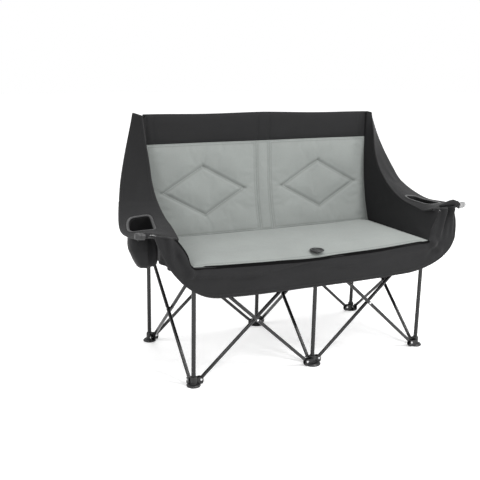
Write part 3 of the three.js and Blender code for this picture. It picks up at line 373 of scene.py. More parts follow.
def rounded(profile, radius, steps=3):
    """The profile with its inner corners rounded."""
    out = [profile[0]]
    for a, b, c in zip(profile, profile[1:], profile[2:]):
        a, b, c = Vector(a), Vector(b), Vector(c)
        r = min(radius, (a - b).length * 0.45, (c - b).length * 0.45)
        p, q = b + (a - b).normalized() * r, b + (c - b).normalized() * r
        for k in range(steps + 1):
            t = k / steps
            out.append(tuple(p * (1 - t) ** 2 + b * 2 * t * (1 - t) + q * t * t))
    return out + [profile[-1]]


def moved(shape, matrix):
    verts, faces = shape
    return [tuple(matrix @ Vector(p)) for p in verts], faces


def add_ring(build, shape, count, start=0.0, place=Matrix()):
    """Adds copies of a shape, evenly turned about Z from a share of one step."""
    for k in range(count):
        turn = Matrix.Rotation(2 * math.pi * (k + start) / count, 4, "Z")
        build.add(*moved(shape, place @ turn))


def rim_loop(across, along):
    """The places round a grid's border, back to the first."""
    there = [(i, 0) for i in range(across)] + [(across - 1, j) for j in range(1, along)]
    back = [(i, along - 1) for i in range(across - 2, -1, -1)] + [(0, j) for j in range(along - 2, -1, -1)]
    return there + back


def closed_skin(build, front, rear, uv, seam, run, rear_mat, side_mat):
    """Two grids joined along their borders, the first stitched."""
    build.grid(front, 0, uv=uv, seam=seam, run=run)
    build.grid(rear, rear_mat, uv=uv, flip=True)
    strip = np.array([[front[i, j], rear[i, j]] for i, j in rim_loop(*front.shape[:2])])
    build.grid(strip, side_mat, flip=True)


def sweep(points, radii, sides=16, closed=False, flat=1.0, caps=True, up=(0, 0, 1)):
    """A tube along points. radii is one number or one per point. flat squeezes it across up."""
    pts = [Vector(p) for p in points]
    n = len(pts)
    if not hasattr(radii, "__len__"):
        radii = [radii] * n
    verts, faces, side = [], [], None
    for k, p in enumerate(pts):
        before = pts[k - 1] if (k or closed) else p
        after = pts[(k + 1) % n] if (k + 1 < n or closed) else p
        along = (after - before).normalized()
        if side is None:
            side = along.cross(Vector(up))
            if side.length < 0.1:
                side = along.cross(Vector((0, 1, 0)))
        side = (side - along * side.dot(along)).normalized()
        lift = side.cross(along).normalized()
        for s in range(sides):
            a = 2 * math.pi * s / sides
            verts.append(tuple(p + side * radii[k] * math.cos(a) + lift * radii[k] * flat * math.sin(a)))
    for k in range(n if closed else n - 1):
        for s in range(sides):
            a, b = k * sides + s, k * sides + (s + 1) % sides
            c, d = ((k + 1) % n) * sides + (s + 1) % sides, ((k + 1) % n) * sides + s
            faces.append((a, d, c, b))
    if caps and not closed:
        faces.append(tuple(range(sides)))
        faces.append(tuple(reversed(range((n - 1) * sides, n * sides))))
    return verts, faces


def piping_uv(points, sides, radius):
    run, total = [], 0.0
    pts = [Vector(p) for p in points]
    for k, p in enumerate(pts):
        total += (p - pts[k - 1]).length if k else 0
        run += [(total, 2 * math.pi * radius * s / sides) for s in range(sides)]
    return run


def add_piping(build, points, radius, mat, sides=8, closed=False, flat=1.0):
    verts, faces = sweep(points, radius, sides, closed, flat)
    build.add(verts, faces, mat, uv=piping_uv(points, sides, radius))


def settle(ob, body, *nodes, slot=None):
    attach(ob, body)
    if nodes:
        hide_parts(*nodes)
    return ob


# Frame: tubes, feet, hubs, rods

def ring_tube(radius, wall, low, high, sides=36):
    lip = 0.0004
    return lathe([
        (radius - wall, low), (radius - lip, low), (radius, low + lip),
        (radius, high - lip), (radius - lip, high), (radius - wall, high), (radius - wall, low),
    ], sides)


def ear(reach, offset, below, opens):
    """A plate with a rounded end along +X, standing on its edge at a sideways offset."""
    lower = [(reach + EAR_R * 0.6, -below), (reach + EAR_R, -below * 0.6)]
    if below <= EAR_R:
        lower = [(reach + EAR_R * math.sin(a), -EAR_R * math.cos(a)) for a in np.linspace(0, math.pi / 2, 7)]
    upper = [(reach + EAR_R * math.cos(a), EAR_R * math.sin(a)) for a in np.linspace(0, math.pi / 2, 9)]
    outline = [(EAR_ROOT, -below), *lower, *upper, (EAR_ROOT, EAR_R)]
    soft = 0.0006
    centre = Vector((reach * 0.6, 0))
    inner = [tuple(Vector(p) + (centre - Vector(p)).normalized() * soft) for p in outline]
    half = EAR_THICK / 2
    layers = [(inner, -half), (outline, -half + soft), (outline, half - soft), (inner, half)]
    verts, faces, count = [], [], len(outline)
    for line, y in layers:
        verts += [(x, offset + y, z * opens) for x, z in line]
    for a in range(3):
        for k in range(count):
            i, j = a * count + k, a * count + (k + 1) % count
            faces.append((i, i + count, j + count, j)[:: int(opens)])
    faces.append(tuple(range(count))[:: int(opens)])
    faces.append(tuple(reversed(range(3 * count, 4 * count)))[:: int(opens)])
    return verts, faces


def clevis(build, angle, reach, aside, opens, z, below, slot_half):
    """Two ears that hold a rod's end between them. opens is 1 for a foot's and -1 for a hub's."""
    place = Matrix.Translation((0, 0, z)) @ Matrix.Rotation(angle, 4, "Z")
    for sign in (-1, 1):
        offset = aside + sign * (slot_half + EAR_THICK / 2)
        build.add(*moved(ear(reach, offset, below, opens), place))


def block(low, high, soft=0.0008):
    """A box with chamfered edges."""
    verts, faces, grid = [], [], {}
    xs = [(a, a + soft, b - soft, b) for a, b in zip(Vector(low), Vector(high))]

    def at(p):
        key = tuple(round(c, 7) for c in p)
        if key not in grid:
            grid[key] = len(verts)
            verts.append(key)
        return grid[key]

    for axis in range(3):
        a, b = (axis + 1) % 3, (axis + 2) % 3
        for end in (0, 3):
            corners = []
            for i, j in ((1, 1), (2, 1), (2, 2), (1, 2)):
                p = [0, 0, 0]
                p[axis], p[a], p[b] = xs[axis][end], xs[a][i], xs[b][j]
                corners.append(at(p))
            faces.append(tuple(corners if end else reversed(corners)))

    def pick(kx, ky, kz):
        return xs[0][kx], xs[1][ky], xs[2][kz]

    for axis in range(3):
        a, b = (axis + 1) % 3, (axis + 2) % 3
        for ea in (0, 3):
            for eb in (0, 3):
                ia, ib = (1 if ea == 0 else 2), (1 if eb == 0 else 2)
                quad = []
                for k, (qa, qb) in ((1, (ea, ib)), (2, (ea, ib)), (2, (ia, eb)), (1, (ia, eb))):
                    idx = [0, 0, 0]
                    idx[axis], idx[a], idx[b] = k, qa, qb
                    quad.append(at(pick(*idx)))
                faces.append(tuple(quad if (ea == 0) == (eb == 0) else reversed(quad)))
    for kx in (0, 3):
        for ky in (0, 3):
            for kz in (0, 3):
                jx, jy, jz = (1 if kx == 0 else 2), (1 if ky == 0 else 2), (1 if kz == 0 else 2)
                tri = [at(pick(kx, jy, jz)), at(pick(jx, ky, jz)), at(pick(jx, jy, kz))]
                faces.append(tuple(tri if (kx + ky + kz) % 2 == 0 else reversed(tri)))
    return verts, faces


def directions(row, column):
    inward = math.pi / 2 if row == "front" else -math.pi / 2
    found = [(inward, REACH_Y)]
    if column < 1:
        found.append((0, REACH_X))
    if column > -1:
        found.append((math.pi, REACH_X))
    return found


def make_foot(row, column, name):
    radius, ribs = CORNER_FOOT if column else MIDDLE_FOOT
    b = Build()
    base = rounded([
        (0.0, 0.0006), (radius - 0.004, 0.0006), (radius - 0.0015, 0.0), (radius, 0.0015), (radius, 0.0042),
        (radius - 0.005, 0.009), (COLLAR + 0.001, 0.0095), (COLLAR, 0.0125), (COLLAR, 0.0085),
    ], 0.0012)
    b.add(*lathe(base, 56))
    collar = rounded([(COLLAR, 0.008), (COLLAR, 0.033), (COLLAR - 0.0012, 0.037), (POST_R + 0.0005, 0.037),
                      (POST_R + 0.0004, 0.003)], 0.0012)
    b.add(*lathe(collar, 48))
    rib = block((COLLAR - 0.001, -0.0009, 0.006), (radius - 0.006, 0.0009, 0.0108), 0.0003)
    add_ring(b, rib, ribs, 0.5)
    lug_half = SLOT_HALF + 0.0008
    for angle, reach in directions(row, column):
        clevis(b, angle, reach, ROD_SIDE, 1, LOW_Z, LOW_Z - 0.0035, SLOT_HALF)
        lug = block((EAR_ROOT, ROD_SIDE - lug_half, 0.0035), (reach + 0.0085, ROD_SIDE + lug_half, 0.0092))
        b.add(*moved(lug, Matrix.Rotation(angle, 4, "Z")))
    ob = b.object("foot_%s_%s" % (row, name), [black_plastic], 32)
    ob.location = (column * POST_X, ROWS[row], 0)
    return settle(ob, "%s_%s_leg" % (row, name), "foot_%s_%s" % (row, name), slot="foot_plastic")


def make_hub(row, column, name):
    b = Build()
    hole = POST_R + 0.0003 if row == "rear" else INNER_R + 0.0002
    low, high = HIGH_Z - HUB_BELOW, HIGH_Z + HUB_ABOVE
    collar = rounded([(hole, low), (COLLAR - 0.001, low), (COLLAR, low + 0.002), (COLLAR, high - 0.001),
                      (COLLAR - 0.001, high), (hole, high), (hole, low)], 0.0009)
    b.add(*lathe(collar, 48))
    band = [(COLLAR - 0.0002, low + 0.0035), (COLLAR + 0.0009, low + 0.0043), (COLLAR + 0.0009, low + 0.0062),
            (COLLAR - 0.0002, low + 0.007)]
    b.add(*lathe(band, 48))
    for angle, reach in directions(row, column):
        clevis(b, angle, reach, -ROD_SIDE, -1, HIGH_Z, EAR_R, SLOT_HALF)
        top = block((EAR_ROOT, -ROD_SIDE - SLOT_HALF - 0.0008, high - 0.0024),
                    (reach - 0.0112, -ROD_SIDE + SLOT_HALF + 0.0008, high))
        b.add(*moved(top, Matrix.Rotation(angle, 4, "Z")))
    if row == "front" and column:
        angle = 0 if column > 0 else math.pi
        clevis(b, angle, 0.024, 0, 1, HIGH_Z, EAR_R, ARM_SLOT_HALF)
    ob = b.object("hub_%s_%s" % (row, name), [black_plastic], 32)
    ob.location = (column * POST_X, ROWS[row], 0)
    return settle(ob, "%s_%s_hub" % (row, name), "hub_%s_%s" % (row, name), slot="hub_plastic")


def rivet(build, place, half, mat, head=0.0045, pin=0.0025):
    """A domed rivet through a pair of ears, along Y."""
    dome = [(0, -half - 0.0015), (head * 0.55, -half - 0.0013), (head * 0.9, -half - 0.0007), (head, -half),
            (pin, -half)]
    other = [(r, -z) for r, z in reversed(dome)]
    build.add(*moved(lathe(dome + other, 20), place @ Matrix.Rotation(math.pi / 2, 4, "X")), mat=mat)


def make_rod(name, post, angle, spacing, rising):
    """One bar of a scissor pair. angle points from post along the pair, and a rising bar is low at post."""
    b = Build()
    half = ROD_LEN / 2 + ROD_TAIL
    lip = 0.0008
    low = [(0, -half + 0.001), (ROD_R - WALL, -half + 0.001), (ROD_R - WALL, -half), (ROD_R - lip / 2, -half),
           (ROD_R, -half + lip)]
    high = [(r, -z) for r, z in reversed(low)]
    b.add(*lathe(low + high, 32))
    for end in (-1, 1):
        rivet(b, Matrix.Translation((0, 0, end * ROD_LEN / 2)), SLOT_HALF + EAR_THICK + RIVET_GAP, 1)
    if rising:
        rivet(b, Matrix.Translation((0, -ROD_SIDE, 0)), ROD_SIDE + ROD_R + RIVET_GAP, 1)
        thick, out = 0.0078, 0.0054
        washer = lathe(rounded([(0, -thick), (out, -thick), (out, 0), (0, 0)], 0.0004), 24)
        place = Matrix.Rotation(math.pi / 2, 4, "X") @ Matrix.Translation((0, 0, thick))
        b.add(*moved(washer, place), mat=2)
    lean = LEAN if rising else -LEAN
    side = ROD_SIDE if rising else -ROD_SIDE
    place = (Matrix.Translation((post[0], post[1], (LOW_Z + HIGH_Z) / 2)) @ Matrix.Rotation(angle, 4, "Z")
             @ Matrix.Translation((spacing / 2, side, 0)) @ Matrix.Rotation(lean, 4, "Y"))
    ob = b.object(name, [steel, rivet_metal, black_plastic], 32)
    ob.matrix_world = place
    return settle(ob, name, name, slot="rod_steel")


def make_post(name, body, x, y, radius, low, high):
    b = Build()
    b.add(*ring_tube(radius, WALL, low, high))
    ob = b.object(name, [steel], 32)
    ob.location = (x, y, 0)
    return settle(ob, body, name, slot="post_steel")


def make_frame():
    for row, y in ROWS.items():
        for name, column in COLUMNS:
            make_foot(row, column, name)
            make_hub(row, column, name)
            place, x = "%s_%s" % (row, name), column * POST_X
            if row == "rear":
                make_post("post_" + place, place + "_leg", x, y, POST_R, POST_FOOT, REAR_TOP)
            else:
                make_post("leg_outer_" + place, place + "_leg", x, y, POST_R, POST_FOOT, OUTER_TOP)
                make_post("leg_inner_" + place, place + "_hub", x, y, INNER_R, INNER_LOW, INNER_TOP)
        for name, start in (("left", -POST_X), ("right", 0)):
            for kind in ("rising", "falling"):
                make_rod("rod_%s_%s_%s" % (row, name, kind), (start, y), 0, POST_X, kind == "rising")
    for name, column in COLUMNS:
        for kind in ("rising", "falling"):
            start = (column * POST_X, -POST_Y)
            make_rod("rod_side_%s_%s" % (name, kind), start, math.pi / 2, 2 * POST_Y, kind == "rising")


make_frame()


# Cloth surfaces: the CAD model's forms, with the sag and the drawn edges of real cloth

def crown(share, power=4):
    return 1 - np.abs(2 * np.asarray(share, float) - 1) ** power


def bay(x):
    return np.sin(np.pi * np.asarray(x, float) / POST_X) ** 2


def lerp(a, b, t):
    return a + (b - a) * t


def fraction(x, low, high):
    return (x - low) / (high - low)


def inside(x, y, low_x, high_x, low_y, high_y):
    """How far a place lies inside a rectangle."""
    return np.minimum.reduce([x - low_x, high_x - x, y - low_y, high_y - y])


def seat_rim(x, y):
    out = np.abs(x) / (SEAT_W / 2)
    front = lerp(0.437, 0.454, out * out)
    rear = 0.447 + 0.003 * out * out
    return lerp(front, rear, fraction(y, SEAT_FRONT, SEAT_REAR))


def back_face(x, z):
    up = np.clip(fraction(z, BACK_FOOT, 0.930), 0, 1)
    slack = np.minimum(1, 2 * (1 - up)) * np.minimum(1, 0.15 + up / 0.3)
    return CLOTH_FRONT - 0.070 * (1 - up) ** 3 + 0.010 * bay(x) * slack


def back_top(x):
    out = np.abs(x) / (BACK_W / 2)
    return lerp(0.934, 0.930, out) - 0.003 * bay(x) - 0.004 * x / BACK_W * 2


def spline(points):
    """A centripetal Catmull-Rom curve through the points, as a function of 0 to 1."""
    pts = [np.array(p, float) for p in points]
    count = len(pts)

    def at(t):
        s = min(max(t, 0.0), 1.0) * (count - 1)
        i = min(int(s), count - 2)
        w = s - i
        p1, p2 = pts[i], pts[i + 1]
        p0 = pts[i - 1] if i else 2 * pts[0] - pts[1]
        p3 = pts[i + 2] if i + 2 < count else 2 * pts[-1] - pts[-2]
        steps = ((p0, p1), (p1, p2), (p2, p3))
        d0, d1, d2 = (max(float(((b - a) ** 2).sum()) ** 0.25, 1e-6) for a, b in steps)
        t1 = ((p1 - p0) / d0 - (p2 - p0) / (d0 + d1) + (p2 - p1) / d1) * d1
        t2 = ((p2 - p1) / d1 - (p3 - p1) / (d1 + d2) + (p3 - p2) / d2) * d1
        a = -3 * p1 + 3 * p2 - 2 * t1 - t2
        b = 2 * p1 - 2 * p2 + t1 + t2
        return p1 + t1 * w + a * w * w + b * w ** 3
    return at


def arm_point(row):
    out, back, up = row
    return lerp(SEAT_W / 2, ARM_OUT, out), lerp(ARM_FRONT, SHOULDER_Y, back), lerp(ARM_Z, SHOULDER_Z, up)


crease = spline([arm_point(r) for r in (
    (0.22, 0, -0.036), (0.18, 0.19, 0.002), (0.13, 0.385, 0.043), (0.103, 0.57, 0.154),
    (0.082, 0.71, 0.327), (0.067, 0.79, 0.528), (0.09, 0.843, 0.75), (0.1, 0.9, 0.995))])
outer_edge = spline([arm_point(r) for r in (
    (0.97, 0, 0.014), (1, 0.285, -0.03), (0.92, 0.475, -0.019), (0.73, 0.717, 0.135),
    (0.61, 0.828, 0.327), (0.485, 0.9, 0.528), (0.35, 0.955, 0.75), (0.215, 0.985, 1))])
ELBOW = 3 / 7


def arm_place(u, v):
    a, b = crease(v), outer_edge(v)
    return a + (b - a) * u


def arm_cloth(side, u, v):
    """The arm's cloth on one side: it droops inside the front on the left and is drawn in on the right."""
    p = arm_place(u, v)
    u = min(max(u, 0.0), 1.0)
    front = max(0.0, 1 - v / 0.17) ** 2
    inner, outer = (1 - u) ** 1.5 * front, u ** 1.5 * max(0.0, 1 - v / 0.14) ** 2
    top = min(max((v - 0.86) / 0.14, 0.0), 1.0) ** 2
    if side < 0:
        sag = u ** 5 * max(0.0, 1 - v / 0.38) * 0.018
        return p + np.array([0.0, 0.0, -0.013 * inner + 0.003 * outer - sag + top * (0.004 + 0.006 * u)])
    rolled = max(0.0, 1 - u / 0.26) ** 2 * min(1.0, v / 0.08) * max(0.0, 1 - v / 0.5)
    return p + np.array([-0.006 * inner - 0.026 * outer + 0.005 * u * top, 0.0,
                         0.010 * inner + 0.006 * outer - 0.020 * rolled - top * (0.004 + 0.013 * u)])


def surface_normal(surface, u, v, step=0.004):
    a = surface(u + step, v) - surface(u - step, v)
    b = surface(u, v + step) - surface(u, v - step)
    n = np.cross(a, b)
    return n / (np.linalg.norm(n) + 1e-12)


def wrinkle(p, size=0.09, height=0.0010, seed=0.0):
    """Broad and small ripples of a taut cloth at a place."""
    q = Vector(p) / size + Vector((seed, seed * 1.7, -seed))
    broad = noise.noise(q)
    small = noise.noise(q * 3.1 + Vector((5, 2, 1)))
    return height * (broad + 0.35 * small)


def fold(p, a, b, width, height):
    """A drawn fold from a to b: full at a, fading out at b."""
    p, a, b = Vector(p), Vector(a), Vector(b)
    along = b - a
    t = (p - a).dot(along) / along.length_squared
    if t < -0.25 or t > 1.1:
        return 0.0
    off = (p - (a + along * t)).length / width
    fade = max(0.0, 1 - max(0.0, t)) ** 0.8 * min(1.0, (t + 0.25) / 0.25)
    return height * fade * (math.exp(-off * off) - 0.45 * math.exp(-(off - 1.7) ** 2))


def shell(build, points, thick, mat=0, back_mat=None, uv=None, seam=None, run=None, normals=None,
          closed_u=False):
    """A cloth of even thickness about a grid of points, closed along its edges."""
    points = np.asarray(points, float)
    nu, nv = points.shape[:2]
    if normals is None:
        normals = grid_normals(points, closed_u)
    if uv is None:
        uv = metre_uv(points)
    if back_mat is None:
        back_mat = mat
    front, rear = points + normals * (thick / 2), points - normals * (thick / 2)
    build.grid(front, mat, closed_u, uv, seam, run)
    build.grid(rear, back_mat, closed_u, uv, seam, run, flip=True)
    edges = []
    if not closed_u:
        edges += [([(0, j) for j in range(nv)], True), ([(nu - 1, j) for j in range(nv)], False)]
    across = [i % nu for i in range(nu + 1 if closed_u else nu)]
    edges += [([(i, 0) for i in across], False), ([(i, nv - 1) for i in across], True)]
    for line, flip in edges:
        build.grid([[front[i, j], rear[i, j]] for i, j in line], mat, flip=not flip)


def grid_normals(points, closed_u=False):
    if closed_u:
        du = np.roll(points, -1, axis=0) - np.roll(points, 1, axis=0)
    else:
        du = np.gradient(points, axis=0)
    dv = np.gradient(points, axis=1)
    n = np.cross(du, dv)
    return n / (np.linalg.norm(n, axis=2, keepdims=True) + 1e-12)


def weld(ob, distance=0.00004):
    """Joins the coinciding vertices of a shell's edges so that it is one closed surface."""
    bm = bmesh.new()
    bm.from_mesh(ob.data)
    bmesh.ops.remove_doubles(bm, verts=bm.verts, dist=distance)
    bmesh.ops.recalc_face_normals(bm, faces=bm.faces)
    bm.to_mesh(ob.data)
    bm.free()
    ob.data.shade_smooth()
    ob.data.set_sharp_from_angle(angle=math.radians(50))
    return ob


def mirrored(points, side):
    return np.asarray(points) * np.array([side, 1, 1])


# The arms' steel tubes and their end caps

def arm_path(side):
    pivot = Vector((side * 0.024, 0, HIGH_Z))
    knee = Vector((side * 0.126, 0, 0.572 if side < 0 else 0.578))
    tip = Vector((-0.198, 0, 0.577) if side < 0 else (0.186, 0, 0.583))
    tail = pivot - (knee - pivot).normalized() * 0.006
    start, end = knee.lerp(pivot, 0.2), knee.lerp(tip, 0.45)
    bend, steps = [], 16
    for k in range(steps + 1):
        t = k / steps
        bend.append(start * (1 - t) ** 2 + knee * 2 * t * (1 - t) + end * t * t)
    return [tail, *bend, tip], pivot, tip


def make_arm_tubes():
    for name, side in SIDES:
        path, pivot, tip = arm_path(side)
        b = Build()
        b.add(*sweep(path, ARM_R, 32, up=(0, 1, 0)), uv=piping_uv(path, 32, ARM_R))
        rivet(b, Matrix.Translation(pivot), ARM_SLOT_HALF + EAR_THICK + RIVET_GAP, 1)
        ob = b.object("arm_tube_" + name, [steel, rivet_metal], 32)
        ob.location = (side * POST_X, -POST_Y, 0)
        settle(ob, "arm_" + name, "arm_tube_" + name, slot="arm_steel")
        bore = 0.0073
        profile = [(bore, -0.019), (0.0112, -0.019), (0.012, -0.0182), (0.012, -0.0045), (0.0105, -0.004),
                   (0.0105, 0), (0.012, 0.0005), (0.012, 0.004), (0.0113, 0.0085), (0.0104, 0.0122),
                   (0.0088, 0.0143), (0.006, 0.0149), (0, 0.015)]
        inner = [(0, 0.0004), (bore, 0.0004), (bore, -0.019)]
        c = Build()
        lean = math.atan2(0.049, 0.0075)
        place = Matrix.Translation(tip) @ Matrix.Rotation(side * lean, 4, "Y")
        c.add(*moved(lathe(profile + inner, 44), place))
        add_ring(c, block((0.0112, -0.0006, -0.0165), (0.0124, 0.0006, -0.0062), 0.0002), 12, place=place)
        # Painted light and shade: the left cap gets the darkened copy of the tip plastic and the right cap
        # the lightened one.
        cap = c.object("arm_tip_" + name, [tip_dark if side < 0 else tip_light], 30)
        cap.location = (side * POST_X, -POST_Y, 0)
        settle(cap, "arm_" + name, "arm_tip_" + name, slot="tip_dark" if side < 0 else "tip_light")


make_arm_tubes()


# Padded pieces: swelled by cloth simulation between their held seams

def puff(ob, held, pressure=4.0, cap=0.012, grow=0.0, frames=20):
    """held is each vertex's hold, from 0, free, to 1, fixed."""
    me = ob.data
    rest = np.zeros(len(me.vertices) * 3)
    me.vertices.foreach_get("co", rest)
    rest = rest.reshape(-1, 3)
    group = ob.vertex_groups.new(name="held")
    for i, w in enumerate(held):
        if w > 0:
            group.add([i], float(min(w, 1)), "REPLACE")
    cloth = ob.modifiers.new("swell", "CLOTH")
    cloth.settings.quality = 6
    cloth.settings.mass = 0.25
    cloth.settings.use_pressure = True
    cloth.settings.uniform_pressure_force = pressure
    cloth.settings.vertex_group_mass = "held"
    cloth.settings.effector_weights.gravity = 0
    cloth.settings.shrink_min = -grow
    cloth.settings.tension_stiffness = 25
    cloth.settings.compression_stiffness = 25
    cloth.settings.bending_stiffness = 3.0
    cloth.collision_settings.use_collision = False
    cloth.collision_settings.use_self_collision = False
    scene = bpy.context.scene
    for k in range(1, frames + 1):
        scene.frame_set(k)
    got = ob.evaluated_get(bpy.context.evaluated_depsgraph_get()).to_mesh()
    now = np.zeros(len(me.vertices) * 3)
    got.vertices.foreach_get("co", now)
    now = now.reshape(-1, 3)
    step = now - rest
    far = np.linalg.norm(step, axis=1, keepdims=True)
    step *= np.minimum(1, cap / np.maximum(far, 1e-9))
    ob.modifiers.remove(cloth)
    ob.vertex_groups.remove(group)
    me.vertices.foreach_set("co", (rest + step).reshape(-1))
    me.update()
    scene.frame_set(1)


def hem(points, inset, sides="nsew"):
    """A grid's stitch attributes: how far from the nearest of the named edges, less inset, and the run."""
    uv = metre_uv(np.asarray(points, float))
    u, v = uv[..., 0], uv[..., 1]
    far = np.full(u.shape, 9.0)
    run = np.zeros(u.shape)
    for side, gap, along in (("w", u, v), ("e", u.max() - u, v), ("s", v, u), ("n", v.max() - v, u)):
        if side in sides:
            near = gap < far
            far = np.where(near, gap, far)
            run = np.where(near, along, run)
    return far - inset, run


def grid_of(surface, us, vs):
    return np.array([[surface(u, v) for v in vs] for u in us])


def rippled(points, height, size=0.09, seed=0.0, folds=()):
    points = np.asarray(points, float)
    normals = grid_normals(points)
    out = points.copy()
    for i in range(points.shape[0]):
        for j in range(points.shape[1]):
            lift = wrinkle(points[i, j], size, height, seed)
            for a, b, width, rise in folds:
                lift += fold(points[i, j], a, b, width, rise)
            out[i, j] += normals[i, j] * lift
    return out


# The seat: one padded cloth, parted where the frame folds it

def seat_surface(x, y, share=1.0):
    across, along = fraction(x, -SEAT_W / 2, SEAT_W / 2), fraction(y, SEAT_FRONT, SEAT_REAR)
    return seat_rim(x, y) + 0.021 * share * crown(across, 14) * crown(along, 14)


def edge_lines(low, high, step, finer=0.012, count=4):
    """Lines from low to high, closer together near both ends."""
    ease = [finer * (k / count) ** 1.6 for k in range(count)]
    mid = np.linspace(low + finer, high - finer, max(2, int(round((high - low - 2 * finer) / step)) + 1))
    return np.array([low + e for e in ease] + list(mid) + [high - e for e in reversed(ease)])


def seat_inside(x, y):
    return inside(x, y, -SEAT_W / 2, SEAT_W / 2, SEAT_FRONT, SEAT_REAR)


def make_seat():
    xs = edge_lines(-SEAT_W / 2, SEAT_W / 2, 0.009)
    ys = edge_lines(SEAT_FRONT, SEAT_REAR, 0.009)
    ys[np.argmin(np.abs(ys - SEAT_SPLIT))] = SEAT_SPLIT
    gx, gy = np.meshgrid(xs, ys, indexing="ij")
    top = np.stack([gx, gy, seat_surface(gx, gy, 0.86)], axis=2)
    low = np.stack([gx, gy, seat_rim(gx, gy) - 0.005], axis=2)
    rim = seat_inside(gx, gy)
    b = Build()
    closed_skin(b, top, low, np.stack([gx, gy], axis=2), rim - 0.005, gx + gy, 1, 1)
    whole = b.object("seat_whole", [grey_cloth, dark_cloth])
    weld(whole)
    co = np.array([v.co for v in whole.data.vertices])
    cap_far = np.hypot(co[:, 0], co[:, 1] + POST_Y)
    inside = seat_inside(co[:, 0], co[:, 1])
    lower = co[:, 2] < seat_rim(co[:, 0], co[:, 1]) - 0.0045
    held = np.where(lower, 1.0, np.clip(1 - inside / 0.006, 0, 1))
    held = np.maximum(held, np.clip(1 - (cap_far - 0.031) / 0.006, 0, 1))
    puff(whole, held, pressure=2.0, cap=0.008, grow=0.001)
    for name, keep_rear in (("front", False), ("rear", True)):
        part_out(whole, "seat_pad_" + name, keep_rear)
    bpy.data.objects.remove(whole)


def part_out(whole, name, keep_rear):
    bm = bmesh.new()
    bm.from_mesh(whole.data)
    geom = bm.verts[:] + bm.edges[:] + bm.faces[:]
    bmesh.ops.bisect_plane(bm, geom=geom, dist=0.0002, plane_co=(0, SEAT_SPLIT, 0), plane_no=(0, 1, 0),
                           clear_inner=keep_rear, clear_outer=not keep_rear)
    rim = [e for e in bm.edges if len(e.link_faces) == 1]
    filled = bmesh.ops.contextual_create(bm, geom=rim)
    for face in filled["faces"]:
        face.material_index = 1
    bmesh.ops.recalc_face_normals(bm, faces=bm.faces)
    me = bpy.data.meshes.new(name)
    bm.to_mesh(me)
    bm.free()
    for m in whole.data.materials:
        me.materials.append(m)
    me.shade_smooth()
    me.set_sharp_from_angle(angle=math.radians(55))
    ob = bpy.data.objects.new(name + "_look", me)
    bpy.context.scene.collection.objects.link(ob)
    body = "seat_rear" if keep_rear else "seat_front"
    settle(ob, body, name, slot="grey_cloth")
    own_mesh(ob)


make_seat()


def make_cap():
    """A plain black cap on the seat: turned rings, a milled edge and a shallow cross of slots."""
    low, high, r = 0.4588, 0.4632, 0.0268
    b = Build()
    sunk, ridge = high - 0.0012, high - 0.0004
    profile = [(0, sunk), (0.009, sunk), (0.0094, ridge), (0.012, ridge), (0.0124, sunk), (0.0195, sunk),
               (0.02, high), (r - 0.0015, high), (r, high - 0.0016), (r, low), (0, low)]
    b.add(*lathe(rounded(profile, 0.0004, 2), 72))
    add_ring(b, block((0.0128, -0.0007, high - 0.0018), (0.0192, 0.0007, high - 0.0005), 0.0002), 8)
    tooth = block((r - 0.0006, -0.0005, low + 0.0004), (r + 0.0005, 0.0005, high - 0.0018), 0.0002)
    add_ring(b, tooth, 48, 0.5)
    stem = rounded([(0, low), (0.0048, low), (0.0048, 0.417), (0, 0.417)], 0.0006, 2)
    b.add(*lathe(stem, 24))
    ob = b.object("seat_cap", [cap_plastic], 30)
    ob.location = (0, -POST_Y, 0)
    settle(ob, "front_middle_hub", "seat_cap", slot="cap_plastic")


make_cap()


# The back: a dark panel, a padded top band, two grey pads with sewn diamonds and a narrow pad between them

DIAMOND_X, DIAMOND_Z, DIAMOND_W, DIAMOND_H = 0.2705, 0.625, 0.178, 0.097
DIAMOND_SLOPE = math.hypot(1 / DIAMOND_W, 1 / DIAMOND_H)


def diamond(x, z):
    """The signed distance outside the sewn diamond, and the run along it."""
    across, up = (np.abs(x) - DIAMOND_X) / DIAMOND_W, (z - DIAMOND_Z) / DIAMOND_H
    return (np.abs(across) + np.abs(up) - 1) / DIAMOND_SLOPE, (x - z) * 0.9


def puckers(x, z):
    """Short creases that run out from the diamond's corners."""
    ax, az = np.abs(x) - DIAMOND_X, z - DIAMOND_Z
    total = np.zeros_like(ax)
    for cx, cz, turns in ((DIAMOND_W, 0, (-34, -6, 27)), (-DIAMOND_W, 0, (150, 183, 214)),
                          (0, DIAMOND_H, (66, 104)), (0, -DIAMOND_H, (-72, -112))):
        for k, turn in enumerate(turns):
            a = math.radians(turn)
            along = (ax - cx) * math.cos(a) + (az - cz) * math.sin(a)
            off = -(ax - cx) * math.sin(a) + (az - cz) * math.cos(a)
            fade = np.clip(1 - along / (0.036 + 0.012 * (k % 2)), 0, 1) * np.clip(1 + along / 0.004, 0, 1)
            swell = 0.4 * np.exp(-((np.abs(off) - 0.008) / 0.005) ** 2)
            total = total + fade * (np.exp(-(off / 0.0042) ** 2) - swell)
    return np.clip(total, -0.6, 0.8)


def snapped(gx, gz, reach=0.0022):
    """The grid with the points nearest to the diamond moved onto it."""
    side = np.sign(gx)
    ax, az = (np.abs(gx) - DIAMOND_X) / DIAMOND_W, (gz - DIAMOND_Z) / DIAMOND_H
    far, _ = diamond(gx, gz)
    near = np.abs(far) < reach
    nx = np.sign(ax) / DIAMOND_W / DIAMOND_SLOPE
    nz = np.sign(az) / DIAMOND_H / DIAMOND_SLOPE
    return np.where(near, gx - side * nx * far, gx), np.where(near, gz - nz * far, gz)


